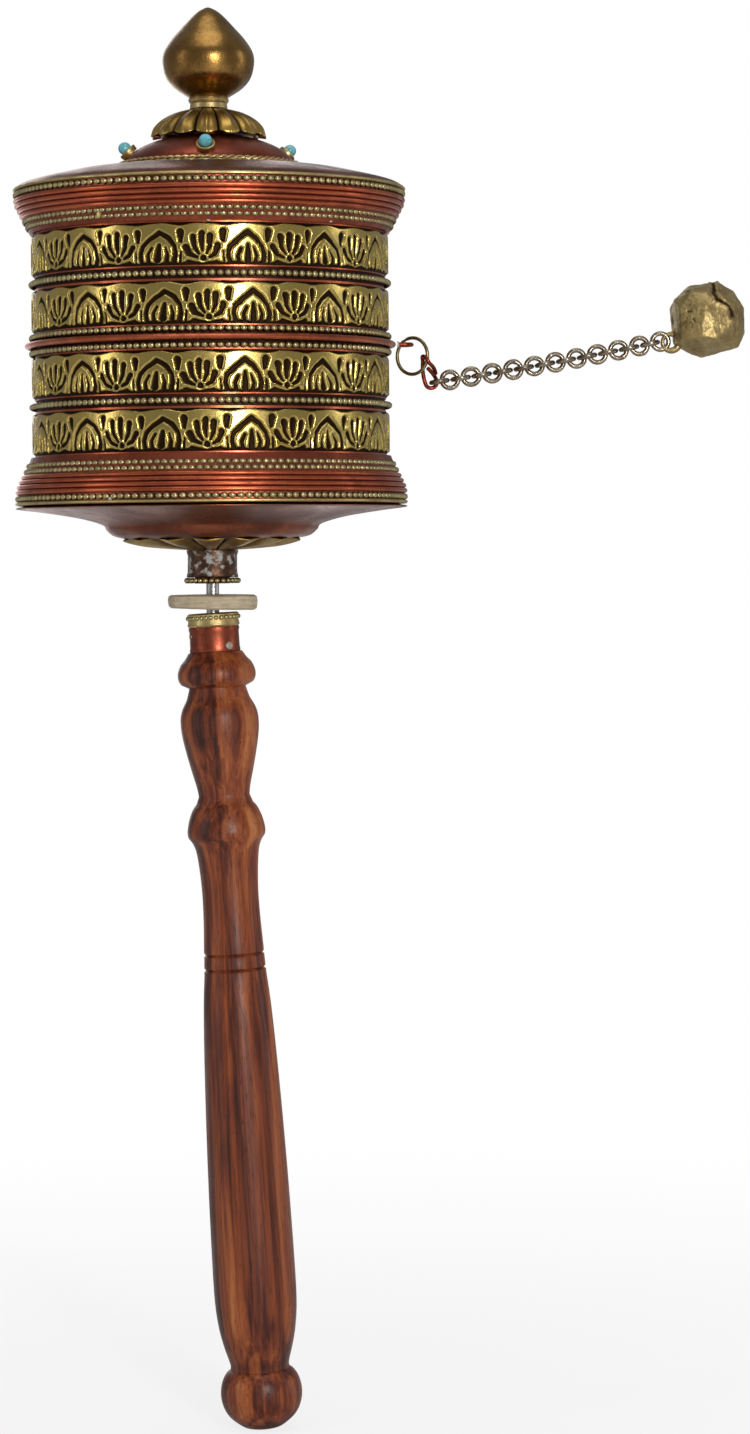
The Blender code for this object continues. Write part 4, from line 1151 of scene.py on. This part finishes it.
# %% Eye and split ring
eye_low, eye_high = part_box("chain_eye")
EYE_WIRE = 0.4 * MM
eye_middle = (eye_low + eye_high) / 2
eye_radius = (eye_high.y - eye_low.y) / 2 - EYE_WIRE
bend_x = eye_high.x - EYE_WIRE - eye_radius
staple = [Vector((eye_low.x + 0.1 * MM, eye_middle.y - eye_radius, eye_middle.z))]
for step in range(21):
    turn = -math.pi / 2 + math.pi * step / 20
    staple.append(Vector((bend_x + eye_radius * math.cos(turn), eye_middle.y + eye_radius * math.sin(turn),
                          eye_middle.z)))
staple.append(Vector((eye_low.x + 0.1 * MM, eye_middle.y + eye_radius, eye_middle.z)))
eye = wire("chain_staple", staple, EYE_WIRE, lashing_copper, "drum")
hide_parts("chain_eye")
for number, side in enumerate((-1, 1), 1):
    foot = Vector((eye_low.x - 0.2 * MM, eye_middle.y + side * eye_radius, eye_middle.z))
    blob = dome(f"staple_solder_{number}", foot, Vector((1, 0, 0)), 0.62 * MM, 0.5 * MM, solder_finish, "drum")
ring_low, ring_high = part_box("split_ring")
RING_WIRE = 0.33 * MM
ring_middle = (ring_low + ring_high) / 2
ring_radius = (ring_high.z - ring_low.z) / 2 - RING_WIRE
ring_turn = math.atan2(ring_high.y - ring_low.y - 2 * RING_WIRE, ring_high.x - ring_low.x - 2 * RING_WIRE)
across = Vector((math.cos(ring_turn), -math.sin(ring_turn), 0.0))
RING_SPLIT = math.radians(118.0)
ring_path, ring_flats = [], []
RING_STEPS = 96
for step in range(RING_STEPS + 1):
    angle = RING_SPLIT + TAU * step / RING_STEPS
    gap = min(step, RING_STEPS - step) / 3
    ring_path.append(ring_middle + ring_radius * (across * math.cos(angle) + Vector((0, 0, math.sin(angle)))))
    ring_flats.append(0.72 + 0.28 * min(gap, 1.0))
ring_path[-1] = ring_path[-2].lerp(ring_path[-1], 0.86)
split_ring = wire("split_ring_wire", ring_path, RING_WIRE, ring_metal, "split_ring", flats=ring_flats)
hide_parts("split_ring")
print("split ring", round(2 * ring_radius / MM, 1), "mm across its wire, turned", round(math.degrees(ring_turn), 1))

# %% [markdown]
# A scrap of copper wire ties the chain to the ring. It goes once round both and is twisted in between, so its
# path is a loop whose two sides turn about each other from the ring's plane to the first link's.

# %% Lashing
pivots = [Vector(joints[f"link_{number:02d}_hinge"]["pos_m"]) for number in range(1, 23)]
pivots.append(Vector(joints["weight_hinge"]["pos_m"]))
LINK_WIRE = 0.47 * MM
first_pull = (pivots[1] - pivots[0]).normalized()
LINK_RADIUS = 1.52 * MM
on_ring = Vector(joints["lashing_swing"]["pos_m"])
link_end = (pivots[0] + pivots[1]) / 2 - first_pull * LINK_RADIUS
LASHING_WIRE = 0.38 * MM
LASHING_SLACK = 0.8 * MM
LASHING_HALF = 1.08 * MM
LASHING_ASIDE = -0.95 * MM
tie_top = on_ring - (link_end - on_ring).normalized() * LASHING_SLACK
tie = link_end - tie_top
tie_along = tie.normalized()
ring_wire = Vector((0, 0, 1)) * math.cos(math.radians(-35.0)) - across * math.sin(math.radians(-35.0))
spread_top = tie_along.cross(ring_wire).normalized()
spread_foot = tie_along.cross(Vector((0, 1, 0))).normalized()
tie_twist = spread_top.angle(spread_foot)
if tie_along.dot(spread_top.cross(spread_foot)) < 0:
    tie_twist = -tie_twist


def on_tie(share, spread, beyond=0.0, aside=0.0):
    turn = Matrix.Rotation(tie_twist * min(max(share, 0.0), 1.0), 3, tie_along)
    sideways = turn @ spread_top
    outwards = tie_along.cross(sideways)
    return tie_top + tie_along * (share * tie.length + beyond) + sideways * spread + outwards * aside


tie_path = [on_tie(share, LASHING_HALF, 0.0, LASHING_ASIDE) for share in (0.72, 0.54, 0.36, 0.18, 0.0)]
for step in range(1, 7):
    turn = math.pi * step / 7
    fade = 0.5 + 0.5 * math.cos(turn)
    tie_path.append(on_tie(0.0, LASHING_HALF * math.cos(turn), -LASHING_HALF * math.sin(turn), LASHING_ASIDE * fade))
tie_path += [on_tie(share, -LASHING_HALF) for share in (0.0, 0.2, 0.4, 0.6, 0.8, 1.0)]
for step in range(1, 7):
    turn = math.pi * step / 7
    tie_path.append(on_tie(1.0, -LASHING_HALF * math.cos(turn), LASHING_HALF * math.sin(turn)))
tie_path += [on_tie(share, LASHING_HALF) for share in (1.0, 0.8, 0.6, 0.4, 0.22)]
lashing = wire("copper_lashing", smooth_path(tie_path, 4), LASHING_WIRE, lashing_copper, "lashing", 12)
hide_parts("lashing")
print("lashing", round(tie.length / MM, 1), "mm long, twisted", round(math.degrees(tie_twist)), "degrees")

# %% [markdown]
# Each link is a closed ring of brass wire, brazed at one place, and a quarter turn from its neighbours. A real
# link is never quite round, so each one is stretched a little along the pull and its braze is a small swelling.


# %% Chain
def link_rows(middle, pull, side, seed):
    draw = random.Random(seed)
    stretch = draw.uniform(0.99, 1.02)
    braze = draw.uniform(0.0, TAU)
    other = pull.cross(side).normalized()
    path, flats = [], []
    for step in range(36):
        angle = TAU * step / 36
        path.append(middle + LINK_RADIUS * (pull * math.cos(angle) * stretch + other * math.sin(angle) / stretch))
        near = abs((angle - braze + math.pi) % TAU - math.pi)
        flats.append(0.97 + 0.12 * math.exp(-((near / 0.16) ** 2)) + draw.uniform(-0.015, 0.015))
    return wire_rows(path, LINK_WIRE, 10, True, flats)


UP = Vector((0, 0, 1))
for number in range(1, 23):
    start, end = pivots[number - 1], pivots[number]
    pull = (end - start).normalized()
    level = pull.cross(UP).normalized()
    side = level if number % 2 == 0 else pull.cross(level).normalized()
    bm = bmesh.new()
    surface_of_rows(bm, link_rows((start + end) / 2, pull, side, 100 + number), True)
    link = add_object(f"chain_link_{number:02d}", bm, chain_metal, f"link_{number:02d}", 80.0)
    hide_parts(f"link_{number:02d}")
print("chain", round((pivots[-1] - pivots[0]).length / MM, 1), "mm long")

# %% [markdown]
# The weight is a rough brass casting, knocked into facets while it was hot. Its corners are listed and
# wrapped in a convex hull, a Remesh modifier gives enough points to smooth the edges, and layered noise gives the
# skin. How far smoothing moved a point tells how sharp the edge was there, which is where wear shows.

# %% Weight
hinge = pivots[-1]
LUG_RISE = math.radians(-20.0)
lug_pull = Vector((math.cos(LUG_RISE), 0.0, math.sin(LUG_RISE)))
LUG_RADIUS = 1.55 * MM
lug_middle = hinge + lug_pull * ((pivots[-1] - pivots[-2]).length / 2 + LUG_RADIUS - LINK_RADIUS)
NUGGET_HALF = Vector((7.15, 7.1, 7.4))
NUGGET_INWARDS = Vector((0.7, 0.0, 0.0))
block_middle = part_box("weight")[1] - (NUGGET_HALF + NUGGET_INWARDS) * MM
NUGGET_CORNERS = [
    (-6.5, -2.0, 3.8), (-3.5, 0.5, 6.5), (1.9, 0.0, 7.4), (5.0, -1.0, 5.4), (7.1, 0.5, 2.3), (7.1, 0.0, -2.7),
    (5.8, -1.5, -5.4), (-1.2, 0.0, -7.3), (-3.5, 0.0, -6.4), (-6.5, 0.0, -4.6), (-7.1, 1.5, 2.3),
    (-0.8, -6.6, 2.4), (-1.6, -7.0, -3.4), (1.2, -7.0, -4.0), (4.6, -5.4, -0.9), (-5.6, -5.0, 2.0),
    (-5.4, -4.8, -4.0), (2.8, -5.0, 4.6), (-3.2, -4.2, 5.2), (0.8, 6.6, 2.6), (-1.4, 7.0, -2.8), (3.0, 6.6, -3.4),
    (5.2, 5.0, 1.2), (-5.4, 5.0, 3.0), (-5.6, 4.8, -4.2), (2.4, 4.8, 5.6), (-2.6, 4.4, 5.6), (1.0, 4.4, -6.4),
]
bm = bmesh.new()
for corner in NUGGET_CORNERS:
    bm.verts.new(Vector(corner) * MM)
hull = bmesh.ops.convex_hull(bm, input=bm.verts)
bmesh.ops.delete(bm, geom=[piece for piece in hull["geom_interior"] if isinstance(piece, bmesh.types.BMVert)])
block = bpy.data.meshes.new("nugget")
bm.to_mesh(block)
bm.free()
casting = bpy.data.objects.new("nugget", block)
bpy.context.scene.collection.objects.link(casting)
remesh = casting.modifiers.new("skin", "REMESH")
remesh.mode = "VOXEL"
remesh.voxel_size = 0.16 * MM
dense = bmesh.new()
dense.from_object(casting, bpy.context.evaluated_depsgraph_get())
bpy.data.objects.remove(casting, do_unlink=True)
before = [vert.co.copy() for vert in dense.verts]
for _ in range(14):
    bmesh.ops.smooth_vert(dense, verts=dense.verts, factor=0.5, use_axis_x=True, use_axis_y=True, use_axis_z=True)
relief_layer = dense.verts.layers.float.new("relief")
dense.normal_update()
CREASE = [(1.4, 6.9), (0.7, 4.9), (1.9, 3.4), (3.9, 2.2), (4.5, 0.3)]
moves = []
for vert, old in zip(dense.verts, before):
    place = vert.co / MM
    sharp = (old - vert.co).dot(vert.normal) / MM
    lump = noise.noise(place * 0.22 + Vector((3.1, 0.2, 5.0)))
    skin = noise.fractal(place * 0.9, 1.0, 2.0, 4)
    dent = max(noise.noise(place * 0.42 + Vector((9.0, 4.0, 1.0))) - 0.25, 0.0)
    wander = (place.x + 0.5 * noise.noise(place * 0.7), place.z + 0.5 * noise.noise(place * 0.7 + Vector((5, 5, 5))))
    crease = min(cut(wander, start, end) for start, end in zip(CREASE, CREASE[1:]))
    front = 1.0 if place.y < 0 else 0.0
    ragged = 0.65 + 0.5 * noise.noise(place * 1.3 + Vector((2.0, 7.0, 0.5)))
    groove = front * ragged * math.exp(-((crease / 0.34) ** 2))
    ridge = front * ragged * math.exp(-(((crease - 0.72) / 0.34) ** 2))
    pitted = front * math.exp(-(((place.x + 3.6) / 1.6) ** 2 + ((place.z - 0.4) / 2.2) ** 2))
    pock = pitted * max(noise.noise(place * 1.9 + Vector((1.0, 3.0, 8.0))) - 0.12, 0.0)
    rise = 0.10 * lump + 0.06 * skin - 0.6 * dent - 0.6 * groove + 0.34 * ridge - 0.7 * pock - 0.10
    # The relief is partly wear and partly painted shade: sharp edges stay light as wear and the ridge stays light,
    # while the crease, the dents, the pits and inward corners are darkened as painted shade.
    shade = 0.66 + 0.16 * skin + 2.4 * sharp - 1.3 * groove + 0.7 * ridge - 0.5 * dent - 1.6 * pock
    vert[relief_layer] = min(max(shade, 0.0), 1.0)
    moves.append((vert, vert.normal * rise * MM))
for vert, move in moves:
    vert.co += move
dense.transform(Matrix.Translation(block_middle))
weight = add_object("cast_weight", dense, cast_brass, "weight", 70.0)
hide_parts("weight")
lug_up = Vector((-lug_pull.z, 0.0, lug_pull.x))
lug_path = [lug_middle + LUG_RADIUS * (lug_pull * math.cos(TAU * s / 40) + lug_up * math.sin(TAU * s / 40))
            for s in range(40)]
lug_flats = [1.25 + 0.35 * math.cos(TAU * s / 40) + 0.08 * noise.noise(Vector((s * 0.3, 0, 0))) for s in range(40)]
lug = wire("weight_lug", lug_path, 0.42 * MM, lug_brass, "weight", closed=True, flats=lug_flats)
print("weight", len(weight.data.polygons), "faces")

# %% [markdown]
# A plain studio: a wide soft lamp on each side, one above, and an almost white world. Polished metal shows what
# stands round it, so the world that it sees is a dim grey and the lamps are large, which gives long highlights.

# %% Studio
REFLECTED_SHARE = 0.08
floor_bm = bmesh.new()
bmesh.ops.create_circle(floor_bm, cap_ends=True, segments=96, radius=6.0,
                        matrix=Matrix.Translation((0, 0, cad_box[0][2] - 0.05 * MM)))
floor_mesh = bpy.data.meshes.new("floor")
floor_bm.to_mesh(floor_mesh)
floor_bm.free()
floor = bpy.data.objects.new("floor", floor_mesh)
bpy.context.scene.collection.objects.link(floor)


def background_rays(finish):
    """1 for rays that come straight from the camera, less for those that come off polished metal."""
    rays = finish.tree.nodes.new("ShaderNodeLightPath")
    straight = Value(finish, rays.outputs["Is Camera Ray"])
    mirrored = Value(finish, rays.outputs["Is Glossy Ray"]) + Value(finish, rays.outputs["Is Transmission Ray"])
    return straight + mirrored * REFLECTED_SHARE


def white_for_camera(finish, seen, other_shader):
    """Mixes plain white into a shader for the rays that look for the background."""
    mixer = finish.tree.nodes.new("ShaderNodeMixShader")
    finish.link(mixer.inputs[0], background_rays(finish) * seen)
    finish.tree.links.new(other_shader, mixer.inputs[1])
    return mixer


floor_finish = Finish("pale_floor")
floor_mix = floor_finish.noise(0.004, 2.0, 0.5)
from_foot = floor_finish.node("ShaderNodeVectorMath", {"operation": "LENGTH"}, {0: floor_finish.place}, 1)
far = (from_foot * 0.001).band(0.03, 0.40)
floor_finish.surface(color=floor_finish.mix(floor_mix, (0.86, 0.86, 0.86), (0.90, 0.90, 0.90)), roughness=0.9)
glow = floor_finish.tree.nodes.new("ShaderNodeEmission")
glow.inputs["Color"].default_value = (1.0, 1.0, 1.0, 1.0)
mixer = white_for_camera(floor_finish, 0.80 + 0.20 * far, floor_finish.shader.outputs[0])
floor_finish.tree.links.new(glow.outputs[0], mixer.inputs[2])
floor_finish.tree.links.new(mixer.outputs[0], floor_finish.tree.nodes["Material Output"].inputs[0])
floor_mesh.materials.append(floor_finish.material)

world = bpy.data.worlds.new("studio")
bpy.context.scene.world = world
world.use_nodes = True
studio = Finish.__new__(Finish)
studio.tree = world.node_tree
sky = studio.tree.nodes["Background"]
sky.inputs["Color"].default_value = (0.96, 0.98, 1.0, 1.0)
sky.inputs["Strength"].default_value = 0.24
white = studio.tree.nodes.new("ShaderNodeBackground")
white.inputs["Color"].default_value = (1.0, 1.0, 1.0, 1.0)
world_mix = studio.tree.nodes.new("ShaderNodeMixShader")
studio.link(world_mix.inputs[0], background_rays(studio))
studio.tree.links.new(sky.outputs[0], world_mix.inputs[1])
studio.tree.links.new(white.outputs[0], world_mix.inputs[2])
studio.tree.links.new(world_mix.outputs[0], studio.tree.nodes["World Output"].inputs[0])


def lamp(name, place, size, power, color=(1.0, 1.0, 1.0)):
    """A soft rectangular lamp that faces the drum."""
    light = bpy.data.lights.new(name, "AREA")
    light.shape = "RECTANGLE"
    light.size, light.size_y = size
    light.energy = power
    light.color = color
    made = bpy.data.objects.new(name, light)
    bpy.context.scene.collection.objects.link(made)
    made.location = place
    aim = Vector((0.0, 0.0, 0.12)) - Vector(place)
    made.rotation_euler = aim.to_track_quat("-Z", "Y").to_euler()


lamp("key_lamp", (0.30, -0.92, 0.26), (0.09, 0.34), 4.6, (1.0, 0.98, 0.95))
lamp("left_lamp", (-0.95, -0.40, 0.25), (0.16, 0.8), 1.3)
lamp("right_lamp", (0.98, 0.05, 0.22), (0.14, 0.8), 1.0)
lamp("top_lamp", (0.0, -0.25, 1.05), (0.7, 0.7), 2.6)
lamp("back_lamp", (-0.2, 0.95, 0.30), (0.5, 0.8), 1.6)
print("floor at", round(cad_box[0][2] / MM, 1), "mm")

# %% [markdown]
# The camera looks level along the Y axis from a little below the drum, with a long lens so that the drum looks
# round but not swollen. Its shift lifts the frame without tilting the upright lines.

# %% Camera
VIEW_DISTANCE = 0.75
lens_camera = bpy.data.cameras.new("camera")
lens_camera.lens = 100.7
lens_camera.sensor_width = 36.0
lens_camera.sensor_fit = "AUTO"
lens_camera.shift_y = -0.109
camera = bpy.data.objects.new("camera", lens_camera)
bpy.context.scene.collection.objects.link(camera)
camera.location = (drum_axis.x + 30.4 * MM, -VIEW_DISTANCE, meeting.z + 9.5 * MM)
camera.rotation_euler = (math.radians(90.0), math.radians(0.48), 0.0)
bpy.context.scene.camera = camera
bpy.context.scene.view_settings.view_transform = "Standard"
print("camera", [round(x, 4) for x in camera.location])
